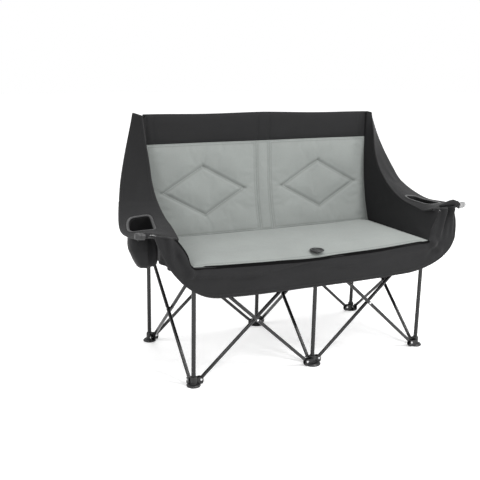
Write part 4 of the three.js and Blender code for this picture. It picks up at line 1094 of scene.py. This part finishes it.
def on_back(build, gx, gz, depth, behind, seam, run, rear_mat):
    """Adds a closed pad to build: its rear lies behind the back's face and its front a depth before it."""
    face = back_face(gx, gz)
    front = np.stack([gx, face - depth, gz], axis=2)
    rear = np.stack([gx, face + behind, gz], axis=2)
    closed_skin(build, front, rear, np.stack([gx, gz], axis=2), seam, run, rear_mat, 0)
    return front


def pad_object(name, gx, gz, depth, seam, run, held_seam):
    """A grey pad on the back, and how firmly each of its vertices is held while it swells."""
    b = Build()
    front = on_back(b, gx, gz, depth, -0.0002, seam, run, 1)
    ob = weld(b.object(name, [grey_cloth, dark_cloth]))
    held = {tuple(np.round(p, 6)): h for p, h in zip(front.reshape(-1, 3), held_seam.reshape(-1))}
    pins = [held.get(tuple(round(c, 6) for c in v.co), 1.0) for v in ob.data.vertices]
    return ob, np.array(pins)


def make_pads():
    for name, side in SIDES:
        xs = edge_lines(PAD_IN, PAD_OUT, 0.0055, 0.010, 3) * side
        zs = edge_lines(PAD_LOW, PAD_HIGH, 0.0055, 0.010, 3)
        gx, gz = np.meshgrid(xs, zs, indexing="ij")
        gx, gz = snapped(gx, gz)
        u, v = fraction(np.abs(gx), PAD_IN, PAD_OUT), fraction(gz, PAD_LOW, PAD_HIGH)
        far, run = diamond(gx, gz)
        groove = GROOVE * np.exp(-(far / GROOVE) ** 2) * np.minimum(1, crown(u, 6))
        depth = 0.0005 + lerp(PAD_EDGE, PAD_CROWN, crown(u, 3) * crown(v, 3)) - groove
        depth = depth - 0.0028 * puckers(gx, gz)
        edge = inside(np.abs(gx), gz, PAD_IN, PAD_OUT, PAD_LOW, PAD_HIGH)
        near = np.abs(far) < np.abs(edge - 0.006)
        seam = np.where(near, far, edge - 0.006)
        runs = np.where(near, run, gx + gz)
        held = np.maximum(np.clip(1 - np.abs(far) / 0.0025, 0, 1), np.clip(1 - edge / 0.004, 0, 1))
        ob, pins = pad_object("back_pad_" + name, gx, gz, depth, seam, runs, held)
        puff(ob, pins, pressure=3.0, cap=0.009, grow=0.003)
        settle(ob, "back", "back_pad_" + name, slot="grey_cloth")
        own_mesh(ob)


def make_channel_pad():
    xs = edge_lines(-CHANNEL_HALF, CHANNEL_HALF, 0.004, 0.008, 3)
    zs = edge_lines(PAD_LOW, PAD_HIGH, 0.006, 0.010, 3)
    gx, gz = np.meshgrid(xs, zs, indexing="ij")
    u, v = fraction(gx, -CHANNEL_HALF, CHANNEL_HALF), fraction(gz, PAD_LOW, PAD_HIGH)
    depth = 0.0005 + lerp(PAD_EDGE, CHANNEL_CROWN, crown(u, 2) * crown(v, 8))
    edge = inside(gx, gz, -CHANNEL_HALF, CHANNEL_HALF, PAD_LOW, PAD_HIGH)
    held = np.clip(1 - edge / 0.003, 0, 1)
    ob, pins = pad_object("back_channel_pad", gx, gz, depth, edge - 0.0035, gz, held)
    puff(ob, pins, pressure=2.0, cap=0.004, grow=0.002)
    settle(ob, "back", "back_channel_pad", slot="grey_cloth")
    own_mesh(ob)


def make_back_panel():
    xs = np.linspace(-BACK_W / 2, BACK_W / 2, 121)
    vs = np.linspace(0, 1, 55)
    rear = np.array([[(x, 0, lerp(BACK_FOOT, float(back_top(x)), v)) for v in vs] for x in xs])
    rear[..., 1] = back_face(rear[..., 0], rear[..., 2]) + 0.00125
    seam, run = hem(rear, 0.009)
    b = Build()
    folds = [((s * 0.5, 0.23, 0.90), (s * 0.30, 0.23, 0.83), 0.02, 0.0012) for s in (-1, 1)]
    bulge = rippled(rear, 0.0006, 0.12, 3.0, folds)
    slack = np.minimum(1, 2 * (1 - (rear[..., 2] - BACK_FOOT) / 0.486))[..., None]
    rear = rear + (bulge - rear) * slack
    shell(b, rear, PANEL_CLOTH, 0, seam=seam, run=run)
    add_piping(b, list(rear[:, -1]), 0.0032, 1, 10)
    add_piping(b, list(rear[:, 0]), 0.0026, 1, 8)
    band_xs = np.linspace(-PAD_W / 2, PAD_W / 2, 151)
    band_vs = np.concatenate([[0, 0.015, 0.04], np.linspace(0.08, 0.92, 15), [0.96, 0.985, 1]])
    gx = np.repeat(band_xs[:, None], len(band_vs), axis=1)
    gz = np.stack([lerp(GREY_TOP + 0.0005, back_top(x) - 0.001, band_vs) for x in band_xs])
    centre = np.abs(np.abs(gx) - 0.027)
    sleeve = np.abs(np.abs(gx) - 0.478)
    groove = 0.0028 * np.exp(-(centre / 0.005) ** 2) + 0.0016 * np.exp(-(sleeve / 0.006) ** 2)
    u = fraction(gx, -PAD_W / 2, PAD_W / 2)
    depth = lerp(PAD_EDGE, TOP_CROWN, crown(u, 14) * crown(np.broadcast_to(band_vs, gx.shape), 5)) - groove
    places = zip(gx.reshape(-1), gz.reshape(-1))
    ripple = np.array([wrinkle((x, 0, z), 0.075, 0.0011, 7.0) for x, z in places]).reshape(gx.shape)
    depth = depth + ripple * crown(u, 8)
    seam_x = np.where(centre < sleeve, centre, sleeve)
    edge = np.minimum(gz - GREY_TOP, back_top(gx) - gz) - 0.006
    use = np.abs(seam_x) < np.abs(edge)
    c = Build()
    on_back(c, gx, gz, depth, 0.0006, np.where(use, seam_x, edge), np.where(use, gz, gx), 0)
    panel = weld(b.object("back_panel", [dark_cloth, binding]))
    band = weld(c.object("back_top_band", [dark_cloth]))
    for ob in (panel, band):
        settle(ob, "back", "back_panel", slot="dark_cloth")
        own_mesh(ob)


make_pads()
make_channel_pad()
make_back_panel()


def make_pockets():
    """Sewn sleeves over the rear posts' tops."""
    for name, side in SIDES:
        x = side * POST_X
        low, high, r, bore = 0.780, 0.916, 0.0098, 0.0083
        us = np.linspace(0, 2 * math.pi, 41)[:-1]
        zs = np.linspace(low, high - 0.004, 30)
        b = Build()
        rows = []
        for a in us:
            line = []
            for z in zs:
                line.append(polar(r - 0.0006 + wrinkle(polar(0.02, a, z), 0.02, 0.0004, x), a, z))
            rows.append(line)
        rows = np.array(rows)
        seam, run = hem(rows, 0.006, "s")
        b.grid(rows, 0, closed_u=True, seam=seam, run=run)
        top = [(r - 0.0006, high - 0.004), (r - 0.0016, high - 0.0012), (r - 0.004, high), (0, high)]
        b.add(*lathe(top, 40))
        inner = np.array([[polar(bore, a, z) for z in (low, high - 0.003)] for a in us])
        b.grid(inner, 0, closed_u=True, flip=True)
        b.add(*lathe([(0, high - 0.0018), (bore, high - 0.003)], 40))
        add_piping(b, [polar(0.95 * r, a, low + 0.001) for a in us], 0.0009, 1, 8, closed=True)
        lip = np.array([[polar(k, a, low) for k in (bore, r - 0.0006)] for a in us])
        b.grid(lip, 0, closed_u=True)
        ob = weld(b.object("pocket_rear_" + name, [dark_cloth, binding]))
        ob.location = (x, POST_Y, 0)
        settle(ob, "rear_%s_leg" % name, "pocket_rear_" + name, slot="dark_cloth")


make_pockets()


# The sides: walls, shoulders and armrests with their cup pouches

def smooth(x, low, high):
    t = min(max(fraction(x, low, high), 0.0), 1.0)
    return t * t * (3 - 2 * t)


def wall_seam(v):
    """Where a side's cloth meets the seat's side, and beyond the corner the back's edge."""
    rear_y = float(back_face(BACK_W / 2, 0.450)) - 0.012
    if v < 0.5:
        p = np.array([WALL_X, lerp(-0.257, rear_y, v / 0.5), lerp(0.454, 0.450, v / 0.5)])
        p[1] -= 0.0015 * max(0.0, 1 - v / 0.06)
        return p
    z = lerp(0.450, 0.928, (v - 0.5) / 0.5)
    return np.array([WALL_X, float(back_face(BACK_W / 2, z)) - 0.012, z])


def wall_foot(v):
    hung = smooth(v / 0.5, 0.14, 0.36) * (1 - smooth(v / 0.5, 0.86, 1))
    turn = smooth(v - 0.5, -0.07, 0.07) * math.pi / 2
    depth = lerp(0.008, 0.064, hung) + 0.0035 * smooth(v, 0.5, 0.6)
    return wall_seam(v) + np.array([hung * 0.004, depth * math.sin(turn), -depth * math.cos(turn)])


def wall_point(side, u, v):
    """u runs up the side wall, v from its front along the seat and then up the back."""
    seam = wall_seam(v)
    if u < SEAM_U:
        t = u / SEAM_U
        p = lerp(wall_foot(v), seam, t)
        sway = 0.006 * math.sin(v * 55) * (1 - t) * smooth(v / 0.5, 0.2, 0.4) * (1 - smooth(v / 0.5, 0.8, 1))
        return p + np.array([sway, 0, 0])
    head = arm_cloth(side, 0, 0.985 * v)
    pull = max(0.0, 1 - v / 0.09) ** 1.5
    head = head + pull * (np.array([0.568, -0.243, 0.5575 if side < 0 else 0.577]) - head)
    up = (u - SEAM_U) / 0.78
    reach = np.linalg.norm(head - seam)
    p = seam + (head - seam) * up * (reach - 0.0012) / reach
    return p + np.array([0.006 * math.sin(math.pi * up) * pull, 0, 0])


def make_wall(name, side):
    us = np.concatenate([np.linspace(0, SEAM_U, 9)[:-1], np.linspace(SEAM_U, 1, 28)])
    vs = np.concatenate([np.linspace(0, 0.1, 15)[:-1], np.linspace(0.1, 1, 96)])
    wall = grid_of(lambda u, v: wall_point(side, u, v), us, vs)
    seam, run = hem(wall, 0.007, "we")
    folds = [((0.53, -0.20, 0.47), (0.56, -0.05, 0.55), 0.018, 0.0022),
             ((0.53, 0.16, 0.50), (0.55, 0.02, 0.56), 0.022, 0.0018),
             ((0.52, 0.16, 0.46), (0.53, 0.20, 0.62), 0.016, 0.0015)]
    wall = rippled(wall, 0.0014, 0.1, side * 2.0, folds)
    b = Build()
    shell(b, mirrored(wall, side), WALL_CLOTH, 0, 1, seam=seam, run=run)
    ob = weld(b.object("side_wall_" + name, [dark_cloth, inner_cloth]))
    settle(ob, "rear_%s_leg" % name, "side_wall_" + name, slot="dark_cloth")
    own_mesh(ob)


def make_shoulder(name, side):
    """The strap from the back's top corner down to the armrest, and the cloth that ties it to the back."""
    us, vs = np.linspace(0, 1, 25), np.linspace(ELBOW, 1, 61)
    strap = grid_of(lambda u, v: arm_cloth(side, u, v), us, vs)
    seam, run = hem(strap, 0.007, "we")
    folds = [((0.60, 0.10, 0.63), (0.55, 0.18, 0.74), 0.016, 0.0018)]
    bent = rippled(strap, 0.0012, 0.11, side * 5.0, folds)
    fade = np.clip((vs - ELBOW) / 0.05, 0, 1)[None, :, None]
    strap = strap + (bent - strap) * fade
    b = Build()
    strap = mirrored(strap, side)
    shell(b, strap, STRAP_CLOTH, 0, 0, seam=seam, run=run)
    add_piping(b, list(strap[0]), 0.0031, 1, 10)
    add_piping(b, list(strap[-1]), 0.0034, 1, 10)
    corner = np.array([side * TOP_END, 0.2282, float(back_top(TOP_END)) + 0.0004])
    top = [strap[k, -1] for k in range(len(us) - 1, -1, -2)]
    top += [lerp(strap[0, -1], corner, t) for t in (0.35, 0.7, 1)]
    add_piping(b, top, 0.0034, 1, 10)
    reveal = []
    for k in range(8, len(vs)):
        a = strap[0, k]
        z = min(a[2], float(back_top(side * TOP_END)))
        edge = np.array([side * TIE_END, float(back_face(TIE_END, z)) + 0.0012, z])
        reveal.append([lerp(a, edge, t) for t in np.linspace(0, 1, 5)])
    shell(b, np.array(reveal)[:: side], TIE_CLOTH, 0, 0)
    ob = weld(b.object("shoulder_" + name, [dark_cloth, binding]))
    settle(ob, "rear_%s_leg" % name, "shoulder_" + name, slot="dark_cloth")
    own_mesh(ob)


def arm_normal(side, u, v):
    n = surface_normal(lambda a, b: arm_cloth(side, a, b), u, v)
    return n if n[2] > 0 else -n


def cup_outline(side, margin, count):
    """The cup opening in shares of the arm's cloth, with the turn: a rounded rectangle, a little askew."""
    mid_u, mid_v = CUP_U + (0.02 if side < 0 else -0.14), CUP_V + (-0.006 if side < 0 else -0.018)
    half_v = CUP_HV + (0.021 if side < 0 else 0.012)
    out = []
    for k in range(count):
        a = 2 * math.pi * (k + 0.5) / count
        c, s = math.cos(a), math.sin(a)
        x = math.copysign(abs(c) ** 0.36, c)
        y = math.copysign(abs(s) ** 0.36, s)
        across = mid_u + (CUP_HU + margin / CUP_M) * x - 0.05 * y
        out.append((across, mid_v + (half_v + margin / ALONG_M) * y, a))
    return out


def to_border(u, v):
    """Where the ray from the cup's centre through a place meets the armrest's border."""
    du, dv = u - CUP_U, v - CUP_V
    ts = []
    if du:
        ts.append(((1 if du > 0 else 0) - CUP_U) / du)
    if dv:
        ts.append(((ELBOW if dv > 0 else 0) - CUP_V) / dv)
    t = min(x for x in ts if x > 0)
    return CUP_U + du * t, CUP_V + dv * t


# The sleeve's places and radii on each side
SLEEVES = {
    -1: ((0.590, -0.226, 0.561, 0.003), (0.630, -0.231, 0.570, 0.007), (0.660, -0.236, 0.576, 0.0095),
         (0.678, -0.239, 0.577, 0.0105), (0.686, -0.24, 0.577, 0.0095)),
    1: ((0.585, -0.224, 0.583, 0.003), (0.612, -0.229, 0.588, 0.0085), (0.640, -0.235, 0.592, 0.0150),
        (0.656, -0.239, 0.589, 0.0140), (0.667, -0.24, 0.5845, 0.0115), (0.673, -0.24, 0.583, 0.0098))}


def add_sleeve(build, side):
    """The cloth round the arm tube's front end."""
    at = spline([(side * x, y, z) for x, y, z, _ in SLEEVES[side]])
    thick = spline([(r, 0, 0) for _, _, _, r in SLEEVES[side]])
    ts = np.linspace(0, 1, 40)
    radii = [float(thick(t)[0]) * (1 + 0.05 * math.sin(t * 31)) for t in ts]
    path = [at(t) for t in ts]
    build.add(*sweep(path, radii, 28), uv=piping_uv(path, 28, 0.012))


def make_armrest(name, side):
    ring = cup_outline(side, 0.0, CUP_POINTS)
    corners = [(0, 0), (1, 0), (1, ELBOW), (0, ELBOW)]
    border = [to_border(u, v) for u, v, _ in ring]
    for cu, cv in corners:
        k = min(range(len(border)), key=lambda i: math.hypot((border[i][0] - cu) * 0.2, (border[i][1] - cv)))
        border[k] = (cu, cv)
    shares = np.concatenate([[0, 0.03, 0.07], np.linspace(0.13, 0.92, 17), [0.97, 1.0]])
    points = np.zeros((len(ring), len(shares), 3))
    normals = np.zeros_like(points)
    seam = np.zeros(points.shape[:2])
    run = np.zeros(points.shape[:2])
    for i, (u0, v0, a) in enumerate(ring):
        u1, v1 = border[i]
        for j, s in enumerate(shares):
            u, v = lerp(u0, u1, s), lerp(v0, v1, s)
            p = arm_cloth(side, u, v)
            n = arm_normal(side, u, v)
            away = min(1, (1 - s) * 5, (ELBOW - v) / 0.03)
            lift = wrinkle(p, 0.07, 0.0012, side * 9.0) * max(0, min(away, s * 4))
            lift += 0.0022 * crown(u, 2) * max(0, away) * min(1, s * 5)
            points[i, j] = p + n * lift
            normals[i, j] = n
            edge = min(u * EDGE_M, (1 - u) * EDGE_M, v * ALONG_M) - 0.007
            rim = s * math.hypot((u1 - u0) * ACROSS_M, (v1 - v0) * ALONG_M) - 0.005
            seam[i, j] = rim if abs(rim) < abs(edge) else edge
            run[i, j] = a * 0.04 if abs(rim) < abs(edge) else v * ALONG_M + u * ACROSS_M
    b = Build()
    shell(b, mirrored(points, side), ARM_CLOTH, 0, 1, uv=points[..., :2], seam=seam, run=run,
          normals=mirrored(normals, side), closed_u=True)
    front = [mirrored(arm_cloth(side, u, 0.0), side) for u in np.linspace(0, 1, 30)]
    outside = [mirrored(arm_cloth(side, 1, v), side) for v in np.linspace(0, ELBOW, 44)]
    inside = [mirrored(arm_cloth(side, 0, v), side) for v in np.linspace(0, ELBOW, 44)]
    add_piping(b, outside, 0.0042, 2, 10)
    add_piping(b, inside, 0.0038, 2, 10)
    add_piping(b, [p + np.array([0, -0.0015, -0.0025]) for p in front], 0.0062, 0, 14)
    add_sleeve(b, side)
    ob = weld(b.object("armrest_" + name, [dark_cloth, inner_cloth, binding]))
    settle(ob, "armrest_" + name, "armrest_" + name, slot="dark_cloth")
    made = [ob, make_pouch(name, side), make_trim(name, side)]
    for piece in made:
        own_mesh(piece)


def make_pouch(name, side):
    ring = cup_outline(side, 0.0, CUP_POINTS)
    rim = np.array([arm_cloth(side, u, v) - arm_normal(side, u, v) * 0.001 for u, v, _ in ring])
    middle = rim.mean(axis=0)
    floor = 0.4305
    b = Build()
    depths = np.concatenate([np.linspace(0, 0.85, 22), [0.9, 0.94, 0.97, 0.99, 1.0]])

    def ring_at(depth, inward):
        soft = max(0.0, (depth - 0.8) / 0.2)
        scale = lerp(1.0, 0.98, depth ** 2) + 0.1 * math.sin(math.pi * depth)
        scale *= 1 - 0.2 * (1 - math.sqrt(max(0.0, 1 - soft ** 2)))
        spread = min(1.0, depth / 0.3) * (1 - 0.4 * depth)
        lean = min(max((depth - 0.5) / 0.45, 0.0), 1.0)
        out = []
        for p in rim:
            q = middle + (p - middle) * scale
            share = (q[0] - middle[0]) / 0.045
            q[0] += 0.004 * spread if share > 0 else -0.012 * min(1.0, depth / 0.3) * (1 + 0.4 * depth)
            q[0] -= 0.019 * lean * max(0.0, share)
            if q[1] < middle[1]:
                step = 1 / (1 + math.exp((q[0] - 0.634) / 0.0016))
                q[1] += spread * (0.020 * step - 0.007 * math.exp(-((q[0] - 0.640) / 0.006) ** 2))
            radius = np.linalg.norm((q - middle)[:2])
            q = middle + (q - middle) * (radius - inward) / radius
            low = floor + (0.0022 if inward else 0.0)
            z = lerp(p[2], low, depth)
            crinkle = wrinkle((q[0], q[1], z), 0.05, 0.0026, side * 11.0)
            crinkle *= math.sin(math.pi * min(1, depth * 1.05))
            d = (q - middle) / max(np.linalg.norm((q - middle)[:2]), 1e-6)
            out.append((q[0] + d[0] * crinkle, q[1] + d[1] * crinkle, z))
        return out

    outer = np.array([ring_at(d, 0.0) for d in depths]).transpose(1, 0, 2)
    inner = np.array([ring_at(d, POUCH_CLOTH) for d in depths]).transpose(1, 0, 2)
    outer, inner = mirrored(outer, side), mirrored(inner, side)
    flip = side > 0
    depth_m = depths * CUP_DEPTH
    near = np.minimum(np.abs(depth_m - 0.012), np.abs(depth_m - CUP_DEPTH + 0.018))
    seam = np.broadcast_to(near, outer.shape[:2])
    run = np.repeat(np.arange(len(ring))[:, None] * 0.0025, len(depths), axis=1)
    b.grid(outer, 0, closed_u=True, seam=seam, run=run, flip=not flip)
    b.grid(inner, 1, closed_u=True, flip=flip)
    b.grid(np.stack([outer[:, 0], inner[:, 0]], axis=1), 0, closed_u=True, flip=flip)
    for grid, mat, turn in ((outer, 0, not flip), (inner, 1, flip)):
        last = grid[:, -1]
        centre = last.mean(axis=0)
        shares = np.linspace(0, 1, 8)[:-1]
        disc = np.stack([last * (1 - s) + centre * s for s in shares], axis=1)
        b.grid(disc, mat, closed_u=True, flip=turn)
        tip = [tuple(p) for p in disc[:, -1]] + [tuple(centre)]
        fan = [(k, (k + 1) % len(ring), len(ring)) for k in range(len(ring))]
        b.add(tip, [f if not turn else f[::-1] for f in fan], mat)
    ob = weld(b.object("cup_pouch_" + name, [dark_cloth, inner_cloth]))
    settle(ob, "armrest_" + name, "cup_pouch_" + name, slot="dark_cloth")
    return ob


def make_trim(name, side):
    ring = cup_outline(side, 0.0028, 120)
    path = [mirrored(arm_cloth(side, u, v) + arm_normal(side, u, v) * 0.0052, side) for u, v, _ in ring]
    b = Build()
    add_piping(b, path, 0.0046, 0, 14, closed=True, flat=0.5)
    ob = weld(b.object("cup_trim_" + name, [trim_cloth]))
    return settle(ob, "armrest_" + name, "cup_trim_" + name, slot="trim_cloth")


for name, side in SIDES:
    make_wall(name, side)
    make_shoulder(name, side)
    make_armrest(name, side)


# The front band, which hangs from the seat's front edge and both arms

BAND_INNER = {
    -1: ((0, 0.436), (0.330, 0.446), (0.460, 0.4515), (0.511, 0.4544), (0.5305, 0.498), (0.553, 0.534),
         (0.570, 0.5555)),
    1: ((0, 0.436), (0.330, 0.446), (0.460, 0.4515), (0.511, 0.4544), (0.5305, 0.498), (0.556, 0.542),
        (0.572, 0.572))}
BAND_OUTER = {
    -1: ((0, 0.325), (0.330, 0.328), (0.452, 0.340), (0.528, 0.382), (0.590, 0.449), (0.630, 0.522),
         (0.648, 0.573)),
    1: ((0, 0.325), (0.330, 0.328), (0.475, 0.338), (0.580, 0.378), (0.632, 0.432), (0.646, 0.520),
        (0.633, 0.579))}
band_edges = {side: [spline([(x, 0, z) for x, z in rows[side]]) for rows in (BAND_INNER, BAND_OUTER)]
              for side in (-1, 1)}


def band_point(u, v):
    """u runs down and out over the band, v from its left end to its right one."""
    out = 2 * v - 1
    side = -1 if out < 0 else 1
    a, b = (edge(abs(out)) for edge in band_edges[side])
    p = a + (b - a) * u
    up = max(0.0, fraction(p[2], 0.454, BAND_HIGH))
    rolled = 0.009 * max(0.0, 1 - u / 0.28) ** 2 * smooth(abs(out), 0.46, 0.56)
    slack = 0.0065 * math.sin(math.pi * min(1.0, u * 1.05)) * (1 - smooth(abs(out), 0.3, 0.5))
    slack *= 0.75 + 0.25 * math.sin(p[0] * 17 + 1)
    return np.array([side * p[0], -0.2634 + 0.010 * up + rolled + slack, p[2]])


def make_band():
    us, vs = np.linspace(0, 1, 33), np.linspace(0, 1, 241)
    points = grid_of(band_point, us, vs)
    seam, run = hem(points, 0.008, "we")
    folds = [((0.612, -0.258, 0.575), (0.572, -0.262, 0.455), 0.009, -0.0120),
             ((0.628, -0.255, 0.572), (0.622, -0.262, 0.455), 0.008, 0.0090),
             ((0.590, -0.258, 0.570), (0.560, -0.262, 0.440), 0.010, 0.0080),
             ((0.530, -0.263, 0.445), (0.585, -0.263, 0.392), 0.015, 0.0085),
             ((0.560, -0.263, 0.430), (0.500, -0.263, 0.375), 0.013, -0.0070),
             ((-0.598, -0.255, 0.568), (-0.585, -0.262, 0.47), 0.010, 0.0080),
             ((-0.570, -0.262, 0.500), (-0.530, -0.263, 0.400), 0.013, -0.0075),
             ((-0.515, -0.263, 0.445), (-0.540, -0.263, 0.40), 0.013, 0.0080),
             ((-0.495, -0.263, 0.425), (-0.200, -0.263, 0.392), 0.013, 0.0085),
             ((-0.060, -0.263, 0.412), (-0.430, -0.263, 0.368), 0.013, -0.0070),
             ((-0.300, -0.263, 0.360), (0.020, -0.263, 0.350), 0.012, 0.0050),
             ((0.050, -0.263, 0.405), (0.350, -0.263, 0.378), 0.013, 0.0070),
             ((0.460, -0.263, 0.440), (0.180, -0.263, 0.415), 0.012, -0.0065)]
    points = rippled(points, 0.0022, 0.10, 13.0, folds)
    b = Build()
    # Painted shade: a near-black strip over the band's top rows, all but the right end, and a near-black
    # piping along its top edge, set a little back, stand for the shadowed gap under the seat's front edge.
    gap_shade_end = int(np.argmax(points[0, :, 0] > 0.512))
    gap_shade = points[:4, :gap_shade_end].copy()
    gap_shade[..., 1] += 0.0022 * np.linspace(1, 0, 4)[:, None]
    shell(b, gap_shade, GAP_SHADE_CLOTH, 3)
    shell(b, points[:4, gap_shade_end - 1:], BAND_CLOTH, 0, 1, seam=seam[:4, gap_shade_end - 1:], run=run[:4, gap_shade_end - 1:])
    shell(b, points[3:], BAND_CLOTH, 0, 1, seam=seam[3:], run=run[3:])
    add_piping(b, [p + np.array([0, 0.002, -0.001]) for p in points[0] if p[0] < 0.514], 0.0026, 3, 10)
    add_piping(b, list(points[-1]), 0.0026, 2, 10)
    bulge = np.array([0, -0.004, 0.005])
    for side, j in ((-1, 0), (1, -1)):
        edge = points[:, j]
        rows = []
        for k, p in enumerate(edge):
            q = mirrored(arm_cloth(side, k / (len(edge) - 1), 0.012), side) - np.array([0, 0, 0.0035])
            rows.append([p + (q - p) * t + bulge * math.sin(math.pi * t) for t in np.linspace(0, 1, 9)])
        shell(b, np.array(rows)[:: side], CORNER_CLOTH, 0, 1)
    ob = weld(b.object("front_band", [dark_cloth, inner_cloth, binding, gap_shade_cloth]))
    settle(ob, "front_middle_hub", "front_band", slot="dark_cloth")
    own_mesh(ob)


make_band()


# Floor, backdrop and light

def make_floor():
    floor_mat = Nodes("studio floor", (0.93, 0.93, 0.93), 0.6)
    place = floor_mat.place()
    speck = floor_mat.noise(place, 3, 3)
    floor_mat.link(floor_mat.ramp(speck, 0.3, 0.7, 0.55, 0.65), "Roughness")
    floor_mat.shader.inputs["Specular IOR Level"].default_value = 0.2
    floor_mat.shader.inputs["Emission Color"].default_value = (1, 1, 1, 1)
    # The lamps fall off with distance, so the far floor glows a little more and stays as white as the near.
    away = floor_mat.add("ShaderNodeVectorMath", {0: place}, operation="LENGTH")
    floor_mat.link(floor_mat.ramp(away.outputs["Value"], 2.0, 7.0, 0.4, 0.62), "Emission Strength")
    b = Build()
    b.add([(-14, -12, 0), (14, -12, 0), (14, 16, 0), (-14, 16, 0)], [(0, 1, 2, 3)], uv=[(0, 0)] * 4)
    floor = b.object("floor", [floor_mat.mat])


def make_world():
    """White to the camera, in reflections and through glass, and half as bright as light on the object."""
    world = bpy.data.worlds.new("studio")
    bpy.context.scene.world = world
    world.use_nodes = True
    tree = world.node_tree
    back = tree.nodes["Background"]
    seen = tree.nodes.new("ShaderNodeBackground")
    for node, strength in ((seen, 1.0), (back, 0.5)):
        node.inputs["Color"].default_value = (1, 1, 1, 1)
        node.inputs["Strength"].default_value = strength
    path = tree.nodes.new("ShaderNodeLightPath")
    rays = path.outputs["Is Camera Ray"]
    for other in ("Is Glossy Ray", "Is Transmission Ray"):
        total = tree.nodes.new("ShaderNodeMath")
        total.operation = "ADD"
        total.use_clamp = True
        tree.links.new(rays, total.inputs[0])
        tree.links.new(path.outputs[other], total.inputs[1])
        rays = total.outputs[0]
    mix = tree.nodes.new("ShaderNodeMixShader")
    tree.links.new(rays, mix.inputs[0])
    tree.links.new(back.outputs[0], mix.inputs[1])
    tree.links.new(seen.outputs[0], mix.inputs[2])
    tree.links.new(mix.outputs[0], tree.nodes["World Output"].inputs["Surface"])


def make_lamp(name, place, aim, size, power):
    data = bpy.data.lights.new(name, "AREA")
    data.shape, data.size, data.size_y, data.energy = "RECTANGLE", size[0], size[1], power
    ob = bpy.data.objects.new(name, data)
    ob.location = place
    ob.rotation_euler = (Vector(aim) - Vector(place)).to_track_quat("-Z", "Y").to_euler()
    bpy.context.scene.collection.objects.link(ob)


make_floor()
make_world()
make_lamp("key", (1.5, -2.3, 3.6), (0, 0, 0.4), (0.6, 2.8), 118)
make_lamp("fill", (-3.0, -2.4, 2.5), (0, 0, 0.5), (0.4, 2.2), 42)
make_lamp("low", (3.3, -1.9, 1.3), (0, -0.1, 0.3), (0.25, 1.2), 15)
make_lamp("top", (0.3, 1.2, 3.6), (0, 0.1, 0.6), (2.6, 1.8), 45)
bpy.context.scene.view_settings.view_transform = "Standard"
